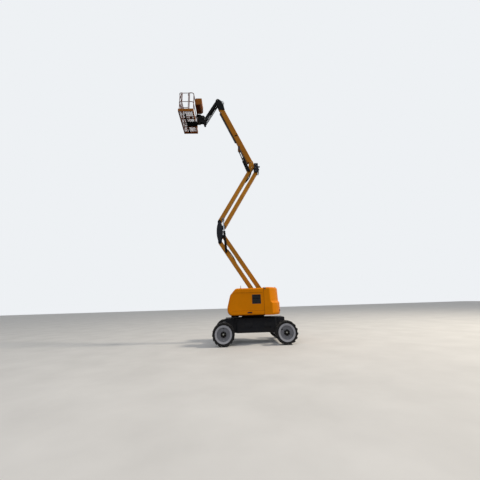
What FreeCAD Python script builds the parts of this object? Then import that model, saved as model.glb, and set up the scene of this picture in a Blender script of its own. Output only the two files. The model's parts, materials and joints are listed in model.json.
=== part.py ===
"""Articulating boom lift: rough-terrain chassis, slewing turret, twin parallelogram riser,
telescopic main boom, jib and work platform, in millimetres.

X points forward, to the platform side, Y to the machine's left and Z up. The origin lies on the
ground under the slewing axis. The booms stand raised.
"""
import FreeCAD, Part

import math
import os
import re

import Sketcher

Vector = FreeCAD.Vector
SIDES = (("left", 1), ("right", -1))

# Driving dimensions: name, millimetres or degrees, what it is.
SIZES = (
    ("front_axle_x", 1190, "front axle ahead of the slewing axis"),
    ("rear_axle_x", 1160, "rear axle behind the slewing axis"),
    ("track_width", 1950, "between the middles of a pair of tyres"),
    ("tyre_diameter", 840, "over the lugs"),
    ("tyre_width", 310, "over the sidewalls"),
    ("lug_height", 32, "tread lugs above the carcass"),
    ("lug_count", 16, "tread lugs on each half of a tyre"),
    ("lug_width", 52, "tread lugs along the tread"),
    ("lug_slant", 24, "tread lugs from straight across"),
    ("lug_middle_gap", 8, "tyre middle to the inner ends of the lugs"),
    ("rim_radius", 252, "outside of the rim barrel, where the bead sits"),
    ("rim_lip_radius", 316, "outside of the rim flanges"),
    ("rim_wall", 12, "rim barrel and flange thickness"),
    ("rim_dish", 8, "slope of the outer rim flange"),
    ("rim_half_width", 140, "rim barrel, middle to outer edge"),
    ("disc_inset", 82, "wheel middle to the inner face of the disc"),
    ("disc_wall", 15, "wheel disc thickness"),
    ("disc_hole_ring", 205, "wheel middle to the holes in the disc"),
    ("disc_hole_radius", 24, "holes in the disc"),
    ("hub_radius", 108, "planetary hub drum"),
    ("hub_length", 34, "planetary hub drum beyond the disc"),
    ("frame_front", 1130, "chassis frame, front end"),
    ("frame_back", 1220, "chassis frame, rear end"),
    ("frame_top", 930, "chassis frame top above the ground"),
    ("frame_bottom", 400, "chassis frame underside above the ground"),
    ("frame_wide", 600, "half width between the axles"),
    ("frame_narrow", 455, "half width beside the wheels"),
    ("frame_wide_front", 660, "where the wide part ends in front"),
    ("frame_wide_back", 830, "where the wide part ends behind"),
    ("frame_taper", 70, "length of each change of width"),
    ("arch_top", 545, "underside of the frame over the axles"),
    ("arch_back", 240, "arch reach from the front axle"),
    ("arch_front", 150, "arch reach from the rear axle"),
    ("axle_half_height", 65, "axle beam"),
    ("axle_half_depth", 62, "axle beam"),
    ("kingpin_y", 725, "kingpin from the middle plane"),
    ("kingpin_radius", 60, "knuckle barrel"),
    ("kingpin_half_height", 105, "knuckle barrel, half its height"),
    ("ear_gap", 34, "axle ear web behind the knuckle barrel"),
    ("ear_thickness", 30, "axle ears above and below the knuckle"),
    ("spindle_radius", 66, "wheel spindle"),
    ("flange_radius", 120, "wheel spindle flange at the disc"),
    ("steer_arm", 190, "kingpin to the steering rod"),
    ("steer_rod_radius", 17, "steering rod"),
    ("steer_barrel_radius", 38, "steering cylinder barrel"),
    ("steer_eye_radius", 26, "steering rod ends"),
    ("steer_eye_half", 22, "steering rod ends, half their height"),
    ("seat_gap", 0.3, "clearance where a piece bears on another"),
    ("rod_gap", 0.5, "clearance of a rod in its bore"),
    ("lug_eye_radius", 25, "tie-down eye"),
    ("tie_lug", 60, "tie-down lug, frame end to its eye"),
    ("tie_y", 380, "tie-down lugs from the middle plane"),
    ("bearing_radius", 470, "slewing ring, outside"),
    ("bearing_bore", 360, "slewing ring, inside"),
    ("turret_bottom", 1030, "underside of the turntable"),
    ("deck_thickness", 30, "turntable deck"),
    ("deck_front", 860, "turntable deck, front edge"),
    ("deck_half_width", 900, "turntable deck"),
    ("turret_top", 2050, "top of the hoods"),
    ("tail_rise", 22, "top of the counterweight above the hoods"),
    ("tail_step_z", 1545, "where the counterweight steps in"),
    ("tail_step", 45, "how far the upper counterweight steps in"),
    ("turret_half_width", 950, "outside of hoods and counterweight"),
    ("hood_bottom", 1042, "lower rim of the hoods"),
    ("hood_back", 385, "rear edge of the hoods behind the slewing axis"),
    ("hood_wall", 25, "hood moulding"),
    ("hood_inner", 350, "outer face of the bulkheads, where the hoods hinge"),
    ("hood_rim_round", 60, "hood outer edges"),
    ("hood_nose_x", 1040, "foremost bulge of the hoods"),
    ("hood_nose_z", 1340, "height of the foremost corner"),
    ("hood_lip_x", 1030, "lower front of the hoods, above the chin"),
    ("hood_lip_z", 1180, "lower front of the hoods, above the chin"),
    ("hood_chin_x", 940, "front of the hood's lower rim"),
    ("hood_shoulder_x", 925, "front slope of the hood"),
    ("hood_shoulder_z", 1800, "front slope of the hood"),
    ("hood_brow_x", 705, "front end of the hood's top"),
    ("hood_round", 180, "hood corners seen from the side"),
    ("vent_middle_x", -98, "side vent"),
    ("vent_middle_z", 1630, "side vent"),
    ("vent_half", 172, "side vent, half its opening"),
    ("vent_frame", 14, "side vent frame"),
    ("vent_slats", 7, "side vent slats"),
    ("latch_middle_x", 175, "hood latch recess"),
    ("latch_z", 1140, "hood latch recess"),
    ("tail_centre", 180, "centre of the counterweight's arc ahead of the slewing axis"),
    ("tail_reach", 1120, "counterweight's rear face behind the slewing axis"),
    ("tail_front", 400, "counterweight front face behind the slewing axis"),
    ("tail_slot", 830, "bottom of the slot for the riser"),
    ("tail_bottom", 1042, "counterweight underside"),
    ("tail_round", 70, "counterweight upper edge"),
    ("tower_wall", 20, "riser tower plates"),
    ("engine_height", 560, "engine block"),
    ("arm_half_width", 100, "riser tubes"),
    ("arm_depth", 172, "riser tubes, seen from the side"),
    ("riser_foot_x", -371, "lower arm pivot"),
    ("riser_foot_z", 1460, "lower arm pivot"),
    ("riser_angle", 57.04, "lower arm above level"),
    ("riser_length", 3162, "lower arm between its pivots"),
    ("riser_link_offset", 299, "lower arm pivot to lower link pivot"),
    ("riser_link_bearing", 129.1, "direction of that offset"),
    ("bracket_rise", 947, "middle bracket, lower to upper arm pivot"),
    ("bracket_lean", 20, "middle bracket, upper pivot ahead of the lower"),
    ("upper_link_back", 210, "upper link pivot behind the upper arm pivot"),
    ("upper_link_drop", 240, "upper link pivot below the upper arm pivot"),
    ("upper_angle", 120, "upper arm, from straight ahead"),
    ("upper_length", 3200, "upper arm between its pivots"),
    ("plate_wall", 15, "bracket plates"),
    ("bracket_eye", 66, "middle bracket round each pivot"),
    ("bracket_spine", 84, "middle bracket, half the width of its spine"),
    ("bracket_fork", 300, "where the bracket's lobes leave its spine, from each arm pivot"),
    ("cover_radius", 140, "oval cover, half its width"),
    ("cover_half_height", 474, "oval cover, half its height"),
    ("cover_crown", 14, "raised middle of the oval cover"),
    ("cover_border", 30, "border round the raised middle"),
    ("cover_wall", 10, "oval cover"),
    ("fork_half", 60, "link tongue, half its thickness"),
    ("fork_eye", 64, "link tongue round its pin"),
    ("fork_depth", 112, "slot in the upper link for that tongue"),
    ("cap_radius", 40, "pin heads"),
    ("cap_height", 9, "pin heads"),
    ("riser_cyl_y", 190, "riser cylinders from the middle plane"),
    ("riser_cyl_back", 510, "riser cylinder foot short of the lower arm's top pivot"),
    ("riser_cyl_head", 173, "riser cylinder head along the upper arm"),
    ("riser_cyl_head_side", 84, "riser cylinder head beside the upper arm's middle line"),
    ("riser_barrel", 900, "riser cylinder foot pin to gland"),
    ("riser_rod_tail", 680, "inner end of the rod from the foot pin"),
    ("barrel_radius", 50, "cylinder barrels"),
    ("rod_radius", 27, "cylinder rods"),
    ("eye_half_width", 51, "cylinder eyes along their pins"),
    ("eye_radius", 52, "cylinder eyes"),
    ("boom_foot_dx", 10, "boom pivot ahead of the upper arm's top pivot"),
    ("boom_foot_dz", 290, "boom pivot above the upper arm's top pivot"),
    ("boom_angle", 66.5, "main boom above level"),
    ("boom_axis_drop", 43, "boom tube middle below its pivot"),
    ("boom_half_width", 100, "outer boom tube"),
    ("boom_depth", 264, "outer boom tube, seen from the side"),
    ("boom_wall", 10, "outer boom tube"),
    ("boom_start", 60, "where the boom tube starts, from the pivot"),
    ("boom_plug", 260, "solid foot of the boom, from the pivot"),
    ("boom_end", 3440, "mouth of the outer tube, from the pivot"),
    ("slide_gap", 6, "between outer tube and extension"),
    ("pad_length", 80, "wear pads"),
    ("head_skirt", 150, "how far the boom head's plates are cut back along its underside"),
    ("extension_tail", 450, "inner end of the extension, from the pivot"),
    ("lift_cyl_y", 175, "lift cylinders from the middle plane"),
    ("lift_foot_dx", 140, "lift cylinder foot ahead of the boom pivot"),
    ("lift_foot_drop", 480, "lift cylinder foot below the boom pivot"),
    ("lift_head", 1000, "lift cylinder head along the boom"),
    ("lift_head_drop", 212, "lift cylinder head below the boom pivot's line"),
    ("lift_barrel", 740, "lift cylinder foot pin to gland"),
    ("lift_rod_tail", 600, "inner end of the rod from the foot pin"),
    ("track_start", 1400, "hose carrier along the boom"),
    ("track_short", 40, "hose carrier's end short of the boom's mouth"),
    ("track_depth", 55, "hose carrier"),
    ("track_half_width", 42, "hose carrier"),
    ("jib_pivot", 4210, "jib pivot from the boom pivot"),
    ("head_wall", 14, "boom head plates"),
    ("level_wall", 12, "levelling link plates"),
    ("level_drop", 330, "jib pivot to levelling rod pivot"),
    ("jib_angle", -62.2, "jib from level"),
    ("jib_length", 1400, "jib between its pivots"),
    ("jib_half_width", 75, "jib plates, outer face"),
    ("jib_wall", 12, "jib plates"),
    ("jib_depth", 125, "jib, seen from the side"),
    ("jib_rod_depth", 26, "levelling rods, flat bars seen from the side"),
    ("jib_rod_eye", 13, "levelling rods, half their thickness"),
    ("jib_cyl_radius", 34, "jib cylinder barrel"),
    ("jib_cyl_rod", 20, "jib cylinder rod"),
    ("jib_barrel", 830, "jib cylinder foot pin to gland"),
    ("jib_rod_tail", 110, "inner end of the jib cylinder rod"),
    ("rotator_x", 300, "platform rotator ahead of the jib's end pivot"),
    ("rotator_radius", 90, "platform rotator housing"),
    ("rotator_drop", 200, "rotator underside below the jib's end pivot"),
    ("rotator_rise", 280, "rotator top above the jib's end pivot"),
    ("yoke_wall", 26, "rotator yoke plates"),
    ("yoke_half_width", 125, "arm and beam under the platform"),
    ("yoke_depth", 118, "arm under the platform"),
    ("beam_half_width", 32, "beam across under the platform"),
    ("beam_depth", 70, "beam across under the platform"),
    ("beam_reach", 690, "beam ends from the platform's middle"),
    ("beam_offset", 60, "beam ahead of the platform's middle"),
    ("platform_gap", 195, "rotator axis to the platform's edge"),
    ("platform_x", 760, "platform along the machine"),
    ("platform_y", 1860, "platform across the machine"),
    ("floor_drop", 117, "platform floor below the jib's end pivot"),
    ("floor_frame", 45, "platform floor frame height"),
    ("floor_sheet", 8, "platform frame above its lower flange"),
    ("floor_third", 335, "cross bars of the floor from its middle"),
    ("rail_height", 1095, "top rail above the floor"),
    ("mid_rail_height", 547, "middle rail above the floor"),
    ("rail_radius", 19, "guard rail tube"),
    ("post_radius", 17, "guard rail posts"),
    ("collar_wall", 8, "gate hinge collars round their post"),
    ("collar_height", 46, "gate hinge collars"),
    ("rail_round", 95, "corner of the guard rails"),
    ("post_setback", 45, "guard rail posts from the start of a corner bend"),
    ("toe_height", 100, "toe board above the floor"),
    ("toe_reach", 50, "toe board below the floor"),
    ("toe_wall", 4, "toe board"),
    ("gate_start", 215, "gate, from the platform's rear edge"),
    ("gate_width", 420, "gate between its posts' middles"),
    ("gate_gap", 13, "gate clearance"),
    ("console_length", 740, "control console along the platform"),
    ("console_depth", 345, "control console outboard of the rail"),
    ("console_height", 395, "control console"),
    ("console_rise", 60, "control console above the top rail"),
    ("console_shift", 80, "control console to the left of the middle"),
    ("floor_pitch", 40, "between the bars of the platform's grating"),
    ("floor_bar", 9, "grating bars"),
    ("floor_bar_depth", 20, "grating bars"),
    ("carrier_pitch", 90, "between the links of the hose carrier"),
    ("panel_depth", 6, "recessed panel in the side of a hood"),
    ("panel_low", 1210, "lower edge of that panel"),
    ("panel_high", 1882, "upper edge of that panel"),
    ("panel_inset", 62, "front edge of that panel behind the hood's outline"),
    ("hinge_radius", 9, "hood hinge barrels"),
    ("hinge_drop", 40, "hood hinge below the hood's top"),
    ("hinge_length", 70, "hood hinge barrels"),
    ("post_height", 110, "alarm post on the left hood"),
    ("post_x", 500, "alarm post on the left hood"),
)
# Sizes that follow others: name, formula, what it is.
TIED = (
    ("plate_inner", "arm_half_width + seat_gap", "bracket and tower plates, inner face"),
    ("level_inner", "jib_half_width + seat_gap", "levelling plates, inner face"),
    ("head_inner", "level_inner + level_wall + seat_gap", "boom head plates, inner face"),
    ("jib_rod_y", "level_inner - seat_gap - jib_rod_eye", "levelling rods, middle plane to axis"),
    ("riser_cyl_foot", "riser_length - riser_cyl_back", "riser cylinder foot along the lower arm"),
    ("track_end", "boom_end - track_short", "hose carrier's upper end along the boom"),
    ("extension_end", "boom_end + head_skirt", "outer end of the extension tube"),
)

doc = FreeCAD.newDocument("boom_lift")
sheet = doc.addObject("Spreadsheet::Sheet", "sizes")
for row, (alias, value, note) in enumerate(SIZES, start=1):
    sheet.set(f"A{row}", str(value))
    sheet.setAlias(f"A{row}", alias)
    sheet.set(f"B{row}", note)
for row, (alias, formula, note) in enumerate(TIED, start=len(SIZES) + 1):
    sheet.set(f"A{row}", f"={formula}")
    sheet.setAlias(f"A{row}", alias)
    sheet.set(f"B{row}", note)
doc.recompute()

ALIASES = re.compile(r"\b(" + "|".join(entry[0] for entry in SIZES + TIED) + r")\b")
nodes = {}


def named(text):
    """A formula in the sheet's words, as the document reads it."""
    return ALIASES.sub(r"sizes.\1", str(text))


def size(text):
    """The number that a formula gives."""
    return float(sheet.evalExpression(named(text)))


def bind(item, **formulas):
    """Ties properties to formulas; a double underscore stands for a dot."""
    for name, formula in formulas.items():
        item.setExpression(name.replace("__", "."), named(formula))
    return item


def keep(node, item, place=None):
    """Registers a finished sub-part under its node's name."""
    item.Label = node
    if place is not None:
        item.Placement = place
    nodes[node] = item
    return item


def block(name, x, y, z):
    """A rectangular block between two formulas along each axis."""
    box = doc.addObject("Part::Box", name)
    for span, side, base in ((x, "Length", "x"), (y, "Width", "y"), (z, "Height", "z")):
        low, high = span
        box.setExpression(side, named(f"({high}) - ({low})"))
        box.setExpression(f"Placement.Base.{base}", named(low))
    return box


def drum(name, axis, centre, span, radius):
    """A cylinder along X, Y or Z; centre gives the two other coordinates in order."""
    item = doc.addObject("Part::Cylinder", name)
    low, high = span
    bind(item, Radius=radius, Height=f"({high}) - ({low})")
    turn = {"X": (Vector(0, 1, 0), 90), "Y": (Vector(1, 0, 0), -90), "Z": (Vector(0, 0, 1), 0)}
    item.Placement.Rotation = FreeCAD.Rotation(*turn[axis])
    across = [letter for letter in "XYZ" if letter != axis]
    item.setExpression(f"Placement.Base.{axis.lower()}", named(low))
    for letter, formula in zip(across, centre):
        item.setExpression(f"Placement.Base.{letter.lower()}", named(formula))
    return item


def join(name, *items):
    """Pieces welded into one."""
    fused = doc.addObject("Part::MultiFuse", name)
    fused.Shapes = list(items)
    fused.Refine = True
    return fused


def cut(name, base, tool):
    """The base with the tool's space taken out."""
    item = doc.addObject("Part::Cut", name)
    item.Base = base
    item.Tool = tool
    item.Refine = True
    return item


def mirror(item):
    """The same piece on the other side of the machine's middle plane."""
    other = doc.addObject("Part::Mirroring", f"{item.Name}_far")
    other.Source = item
    other.Normal = Vector(0, 1, 0)
    return other


def plane_of(body, role):
    """One of the body's own planes or axes."""
    return next(p for p in body.Origin.OriginFeatures if p.Role == role)


def new_sketch(body, role, offset="0"):
    sketch = body.newObject("Sketcher::SketchObject", f"{body.Name}_sketch")
    sketch.AttachmentSupport = (plane_of(body, role), [""])
    sketch.MapMode = "FlatFace"
    sketch.setExpression("AttachmentOffset.Base.z", named(offset))
    return sketch


def hold(sketch, kind, geometry, position, formula):
    """Ties one coordinate of a point, measured from the sketch's origin, to a formula."""
    at = sketch.addConstraint(
        Sketcher.Constraint(kind, -1, 1, geometry, position, size(formula))
    )
    sketch.setExpression(f"Constraints[{at}]", named(formula))


def draw_outline(sketch, corners):
    """A closed outline of straight runs, each corner tied to its two formulas."""
    points = [Vector(size(a), size(b), 0) for a, b in corners]
    count = len(points)
    for i in range(count):
        sketch.addGeometry(Part.LineSegment(points[i], points[(i + 1) % count]), False)
    for i in range(count):
        sketch.addConstraint(Sketcher.Constraint("Coincident", i, 2, (i + 1) % count, 1))
    for i, (a, b) in enumerate(corners):
        hold(sketch, "DistanceX", i, 1, a)
        hold(sketch, "DistanceY", i, 1, b)


def draw_link(sketch, eyes):
    """The outline round a chain of round eyes (x, z, radius), counterclockwise: arcs and tangents."""
    circles = [tuple(size(word) for word in eye) for eye in eyes]
    count = len(circles)
    normals = []
    for i, (x, z, r) in enumerate(circles):
        x2, z2, r2 = circles[(i + 1) % count]
        way = math.atan2(z2 - z, x2 - x)
        normals.append(way - math.acos((r - r2) / math.hypot(x2 - x, z2 - z)))
    for i, (x, z, r) in enumerate(circles):
        circle = Part.Circle(Vector(x, z, 0), Vector(0, 0, 1), r)
        sketch.addGeometry(Part.ArcOfCircle(circle, normals[i - 1], normals[i]), False)
        x2, z2, r2 = circles[(i + 1) % count]
        out = Vector(math.cos(normals[i]), math.sin(normals[i]), 0)
        start = Vector(x, z, 0) + out * r
        end = Vector(x2, z2, 0) + out * r2
        sketch.addGeometry(Part.LineSegment(start, end), False)
    for i in range(count):
        arc, line, following = 2 * i, 2 * i + 1, (2 * i + 2) % (2 * count)
        sketch.addConstraint(Sketcher.Constraint("Tangent", arc, 2, line, 1))
        sketch.addConstraint(Sketcher.Constraint("Tangent", line, 2, following, 1))
    for i, (x, z, r) in enumerate(eyes):
        hold(sketch, "DistanceX", 2 * i, 3, x)
        hold(sketch, "DistanceY", 2 * i, 3, z)
        at = sketch.addConstraint(Sketcher.Constraint("Radius", 2 * i, size(r)))
        sketch.setExpression(f"Constraints[{at}]", named(r))


def pad(body, sketch, length, reverse):
    item = body.newObject("PartDesign::Pad", f"{body.Name}_pad")
    item.Profile = sketch
    item.Reversed = reverse
    return bind(item, Length=length)


def round_edges(body, base, chosen, radius):
    """A fillet on the edges that a test picks."""
    doc.recompute()
    names = [f"Edge{i}" for i, edge in enumerate(base.Shape.Edges, start=1) if chosen(edge)]
    item = body.newObject("PartDesign::Fillet", f"{body.Name}_fillet")
    item.Base = (base, names)
    return bind(item, Radius=radius)


def upright(edge, axis, x, z):
    """Whether an edge runs along Y through a place seen from the side."""
    if len(edge.Vertexes) < 2:
        return False
    a, b = (v.Point for v in edge.Vertexes)
    along = abs((b - a).normalize().dot(axis)) > 0.999
    return along and abs(a.x - x) < 0.01 and abs(a.z - z) < 0.01


def plate(name, corners, near, thickness, rounds=(), radius="0"):
    """A flat plate in the XZ plane from Y = near towards +Y, with some corners rounded."""
    body = doc.addObject("PartDesign::Body", name)
    sketch = new_sketch(body, "XZ_Plane", f"-({near})")
    draw_outline(sketch, corners)
    item = pad(body, sketch, thickness, True)
    if rounds:
        spots = [(size(corners[i][0]), size(corners[i][1])) for i in rounds]
        along = Vector(0, 1, 0)
        round_edges(
            body, item, lambda e: any(upright(e, along, x, z) for x, z in spots), radius
        )
    return body


def link_plate(name, eyes, near, thickness):
    """A flat plate whose outline runs round its eyes, from Y = near towards +Y."""
    body = doc.addObject("PartDesign::Body", name)
    sketch = new_sketch(body, "XZ_Plane", f"-({near})")
    draw_link(sketch, eyes)
    pad(body, sketch, thickness, True)
    return body


def oval(name, centre, half_width, half_height, near, thickness):
    """An oval plate, taller than wide, from Y = near towards +Y."""
    rim_line = doc.addObject("Part::Ellipse", f"{name}_line")
    bind(rim_line, MajorRadius=half_height, MinorRadius=half_width)
    rim_line.Placement.Rotation = FreeCAD.Rotation(
        Vector(0, 0, 1), Vector(1, 0, 0), Vector(0, 1, 0), "XYZ"
    )
    bind(rim_line, Placement__Base__x=centre[0], Placement__Base__y=near,
         Placement__Base__z=centre[1])
    item = doc.addObject("Part::Extrusion", name)
    item.Base = rim_line
    item.DirMode = "Custom"
    item.Dir = Vector(0, 1, 0)
    item.Solid = True
    return bind(item, LengthFwd=thickness)


def turned(name, profile, plane_name="XY_Plane"):
    """A piece turned from a profile of (radius, height), round Y, or in the XZ plane round Z."""
    body = doc.addObject("PartDesign::Body", name)
    sketch = new_sketch(body, plane_name)
    draw_outline(sketch, profile)
    item = body.newObject("PartDesign::Revolution", f"{name}_turn")
    item.Profile = sketch
    item.ReferenceAxis = (sketch, ["V_Axis"])
    item.Angle = 360
    return body


def pin_heads(name, spots, face):
    """Heads of the pivot pins on both outer faces of a pair of plates."""
    made = []
    for i, (x, z) in enumerate(spots):
        near = drum(f"{name}_pin{i}", "Y", (x, z), (face, f"{face} + cap_height"), "cap_radius")
        made += [near, mirror(near)]
    return made


def pair(item):
    return [item, mirror(item)]


def ahead(point, distance, degrees):
    """The point (x, z) at a distance and direction in the middle plane."""
    turn = math.radians(degrees)
    return (point[0] + distance * math.cos(turn), point[1] + distance * math.sin(turn))


def at(point, degrees=0.0):
    """A placement that carries a piece's own origin to (x, z), turned up by degrees."""
    return FreeCAD.Placement(
        Vector(point[0], 0, point[1]), FreeCAD.Rotation(Vector(0, 1, 0), -degrees)
    )


def bearing(start, end):
    """Distance and direction from one point to another."""
    dx, dz = end[0] - start[0], end[1] - start[1]
    return math.hypot(dx, dz), math.degrees(math.atan2(dz, dx))


# Pivots at rest, as (x, z) in the middle plane, worked out along the chain of arms.
arm_foot = (size("riser_foot_x"), size("riser_foot_z"))
link_foot = ahead(arm_foot, size("riser_link_offset"), size("riser_link_bearing"))
arm_top = ahead(arm_foot, size("riser_length"), size("riser_angle"))
link_top = ahead(link_foot, size("riser_length"), size("riser_angle"))
upper_foot = (arm_top[0] + size("bracket_lean"), arm_top[1] + size("bracket_rise"))
upper_link_foot = (
    upper_foot[0] - size("upper_link_back"),
    upper_foot[1] - size("upper_link_drop"),
)
upper_top = ahead(upper_foot, size("upper_length"), size("upper_angle"))
upper_link_top = ahead(upper_link_foot, size("upper_length"), size("upper_angle"))
boom_foot = (upper_top[0] + size("boom_foot_dx"), upper_top[1] + size("boom_foot_dz"))
jib_foot = ahead(boom_foot, size("jib_pivot"), size("boom_angle"))
level_foot = (jib_foot[0], jib_foot[1] - size("level_drop"))
jib_top = ahead(jib_foot, size("jib_length"), size("jib_angle"))
level_top = (jib_top[0], jib_top[1] - size("level_drop"))
riser_cyl_foot = ahead(arm_foot, size("riser_cyl_foot"), size("riser_angle"))
riser_cyl_head = ahead(
    ahead(upper_foot, size("riser_cyl_head"), size("upper_angle")),
    size("riser_cyl_head_side"),
    size("upper_angle") + 90,
)
lift_cyl_foot = (
    boom_foot[0] + size("lift_foot_dx"),
    boom_foot[1] - size("lift_foot_drop"),
)
lift_cyl_head = ahead(
    ahead(boom_foot, size("lift_head"), size("boom_angle")),
    size("lift_head_drop"),
    size("boom_angle") - 90,
)
rotator = (jib_top[0] + size("rotator_x"), jib_top[1])
floor_z = jib_top[1] - size("floor_drop")


def chassis():
    """Box frame with arches over the axles, and four tie-down lugs on its ends."""
    body = doc.addObject("PartDesign::Body", "frame_box")
    sketch = new_sketch(body, "XY_Plane", "frame_bottom")
    half = [
        ("frame_front", "frame_narrow"),
        ("frame_wide_front + frame_taper", "frame_narrow"),
        ("frame_wide_front", "frame_wide"),
        ("-frame_wide_back", "frame_wide"),
        ("-frame_wide_back - frame_taper", "frame_narrow"),
        ("-frame_back", "frame_narrow"),
    ]
    draw_outline(sketch, half + [(x, f"-{y}") for x, y in reversed(half)])
    pad(body, sketch, "frame_top - frame_bottom", False)
    across = ("-frame_wide", "frame_wide")
    low = ("frame_bottom - 1", "arch_top")
    front = block("front_arch", ("front_axle_x - arch_back", "frame_front + 1"), across, low)
    back = block("rear_arch", ("-frame_back - 1", "-rear_axle_x + arch_front"), across, low)
    keep("chassis_frame", cut("chassis_frame", body, join("arches", front, back)))
    pieces = []
    ends = (("front", "frame_front", "frame_front + tie_lug * 1.5", "frame_front + tie_lug"),
            ("rear", "-frame_back - tie_lug * 1.5", "-frame_back", "-frame_back - tie_lug"))
    low = "arch_top + tie_lug"
    for name, low_x, high_x, eye_x in ends:
        lug = block(f"{name}_lug", (low_x, high_x), ("tie_y - tie_lug * 0.75", "tie_y + tie_lug * 0.75"),
                    (low, f"{low} + ear_thickness"))
        eye = drum(f"{name}_eye", "Z", (eye_x, "tie_y"), (f"{low} - 1", f"{low} + ear_thickness + 1"),
                   "lug_eye_radius")
        pieces += pair(cut(f"{name}_tie", lug, eye))
    keep("tie_down_lugs", join("tie_down_lugs", *pieces))
    ring = drum("ring", "Z", ("0", "0"), ("frame_top", "turret_bottom"), "bearing_radius")
    bore = drum("ring_bore", "Z", ("0", "0"), ("frame_top - 1", "turret_bottom + 1"), "bearing_bore")
    keep("slew_bearing", cut("slew_bearing", ring, bore))


def axles():
    """Front beam with ears for the knuckles and a steering cylinder; rear beam with spindles."""
    z = "tyre_diameter / 2"
    beam_z = (f"{z} - axle_half_height", f"{z} + axle_half_height")
    x = ("front_axle_x - axle_half_depth", "front_axle_x + axle_half_depth")
    ear_z = "(kingpin_half_height + ear_thickness)"
    inner = "kingpin_y - kingpin_radius - ear_gap"
    outer = "kingpin_y + kingpin_radius"
    beam = block("front_beam", x, (f"-({inner})", inner), beam_z)
    saddle = block("front_saddle", x, ("-140", "140"), (f"{z}", "arch_top"))
    pieces = [beam, saddle]
    end = block("ear_web", x, (f"{inner} - 40", inner), (f"{z} - {ear_z}", f"{z} + {ear_z}"))
    top = block("ear_top", x, (f"{inner} - 40", outer),
                (f"{z} + kingpin_half_height + seat_gap", f"{z} + {ear_z}"))
    low = block("ear_low", x, (f"{inner} - 40", outer),
                (f"{z} - {ear_z}", f"{z} - kingpin_half_height - seat_gap"))
    for piece in (end, top, low):
        pieces += pair(piece)
    rod_x = "front_axle_x - steer_arm"
    barrel = drum("steer_tube", "Y", (rod_x, z), ("-220", "220"), "steer_barrel_radius")
    bore = drum("steer_bore", "Y", (rod_x, z), ("-221", "221"), "steer_rod_radius + rod_gap")
    web = block("steer_web", (rod_x, "front_axle_x"), ("-60", "60"), (f"{z} - 12", f"{z} + 12"))
    pieces += [barrel, web]
    keep("front_axle", cut("front_axle", join("front_axle_solid", *pieces), bore))

    ends = "track_width / 2 + disc_inset - 30"
    tip = "track_width / 2 + disc_inset"
    back = ("-rear_axle_x - axle_half_depth", "-rear_axle_x + axle_half_depth")
    beam = block("rear_beam", back, ("-kingpin_y", "kingpin_y"), beam_z)
    saddle = block("rear_saddle", back, ("-frame_narrow", "frame_narrow"), (z, "arch_top"))
    spindle = drum("rear_spindle", "Y", ("-rear_axle_x", z), (f"-({ends})", ends), "spindle_radius")
    pieces = [beam, saddle, spindle]
    flange = drum("rear_flange", "Y", ("-rear_axle_x", z), (ends, f"{tip} - seat_gap"), "flange_radius")
    keep("rear_axle", join("rear_axle", *pieces, *pair(flange)))

    for side, sign in SIDES:
        y = f"{sign} * kingpin_y"
        barrel = drum(f"knuckle_{side}", "Z", ("front_axle_x", y),
                      (f"{z} - kingpin_half_height", f"{z} + kingpin_half_height"),
                      "kingpin_radius")
        spindle = drum(f"spindle_{side}", "Y", ("front_axle_x", z), ("kingpin_y", ends), "spindle_radius")
        flange = drum(f"flange_{side}", "Y", ("front_axle_x", z), (ends, f"{tip} - seat_gap"),
                      "flange_radius")
        if sign < 0:
            spindle, flange = mirror(spindle), mirror(flange)
        y_low, y_high = sorted((f"{sign} * (kingpin_y - 40)", y), key=size)
        arm_z = f"{z} - steer_eye_half - seat_gap"
        arm = block(f"arm_{side}", (f"{rod_x} - 22", "front_axle_x"), (y_low, y_high),
                    (f"{arm_z} - 26", arm_z))
        keep(f"steering_knuckle_{side}", join(f"steering_knuckle_{side}", barrel, spindle, flange, arm))
    reach = "kingpin_y - 20"
    rod = drum("steer_shaft", "Y", (rod_x, z), (f"-({reach})", reach), "steer_rod_radius")
    end = drum("steer_end", "Z", (rod_x, reach),
               (f"{z} - steer_eye_half", f"{z} + steer_eye_half"), "steer_eye_radius")
    keep("steering_rod", join("steering_rod", rod, *pair(end)))


def tyre():
    """A tyre with a ring of slanted lugs on each half, half a lug's pitch apart."""
    lip = "rim_half_width - rim_wall - seat_gap"
    shoulder = "(tyre_width / 2 - 8)"
    carcass = "tyre_diameter / 2 - lug_height"
    body = turned("tyre", [
        ("rim_radius + seat_gap", f"-({lip})"),
        ("rim_radius + seat_gap", lip),
        ("rim_lip_radius + 2", lip),
        (carcass, shoulder),
        (carcass, f"-{shoulder}"),
        ("rim_lip_radius + 2", f"-({lip})"),
    ])
    lean = f"({shoulder} - lug_middle_gap) * tan(lug_slant * 1 deg) / 2"
    base = f"({carcass} - 14)"
    top = f"sqrt((tyre_diameter / 2)^2 - ({lean} + lug_width / 2)^2)"
    for hand, sign, turn in (("near", 1, "0"), ("far", -1, "180 / lug_count")):
        sketch = new_sketch(body, "XY_Plane", f"{base} * cos({turn} * 1 deg)")
        sketch.AttachmentOffset.Rotation = FreeCAD.Rotation(Vector(0, 1, 0), 1)
        sketch.setExpression("AttachmentOffset.Rotation.Angle", named(turn))
        sketch.setExpression("AttachmentOffset.Base.x", named(f"{base} * sin({turn} * 1 deg)"))
        draw_outline(sketch, [
            (f"-{lean} - lug_width / 2", f"{sign} * lug_middle_gap"),
            (f"-{lean} + lug_width / 2", f"{sign} * lug_middle_gap"),
            (f"{lean} + lug_width / 2", f"{sign} * {shoulder}"),
            (f"{lean} - lug_width / 2", f"{sign} * {shoulder}"),
        ])
        lug = pad(body, sketch, f"{top} - {base}", False)
        ring = body.newObject("PartDesign::PolarPattern", f"lug_ring_{hand}")
        ring.Originals = [lug]
        ring.Axis = (plane_of(body, "Y_Axis"), [""])
        ring.Angle = 360
        bind(ring, Occurrences="lug_count")
        body.Tip = ring
    return body


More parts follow.
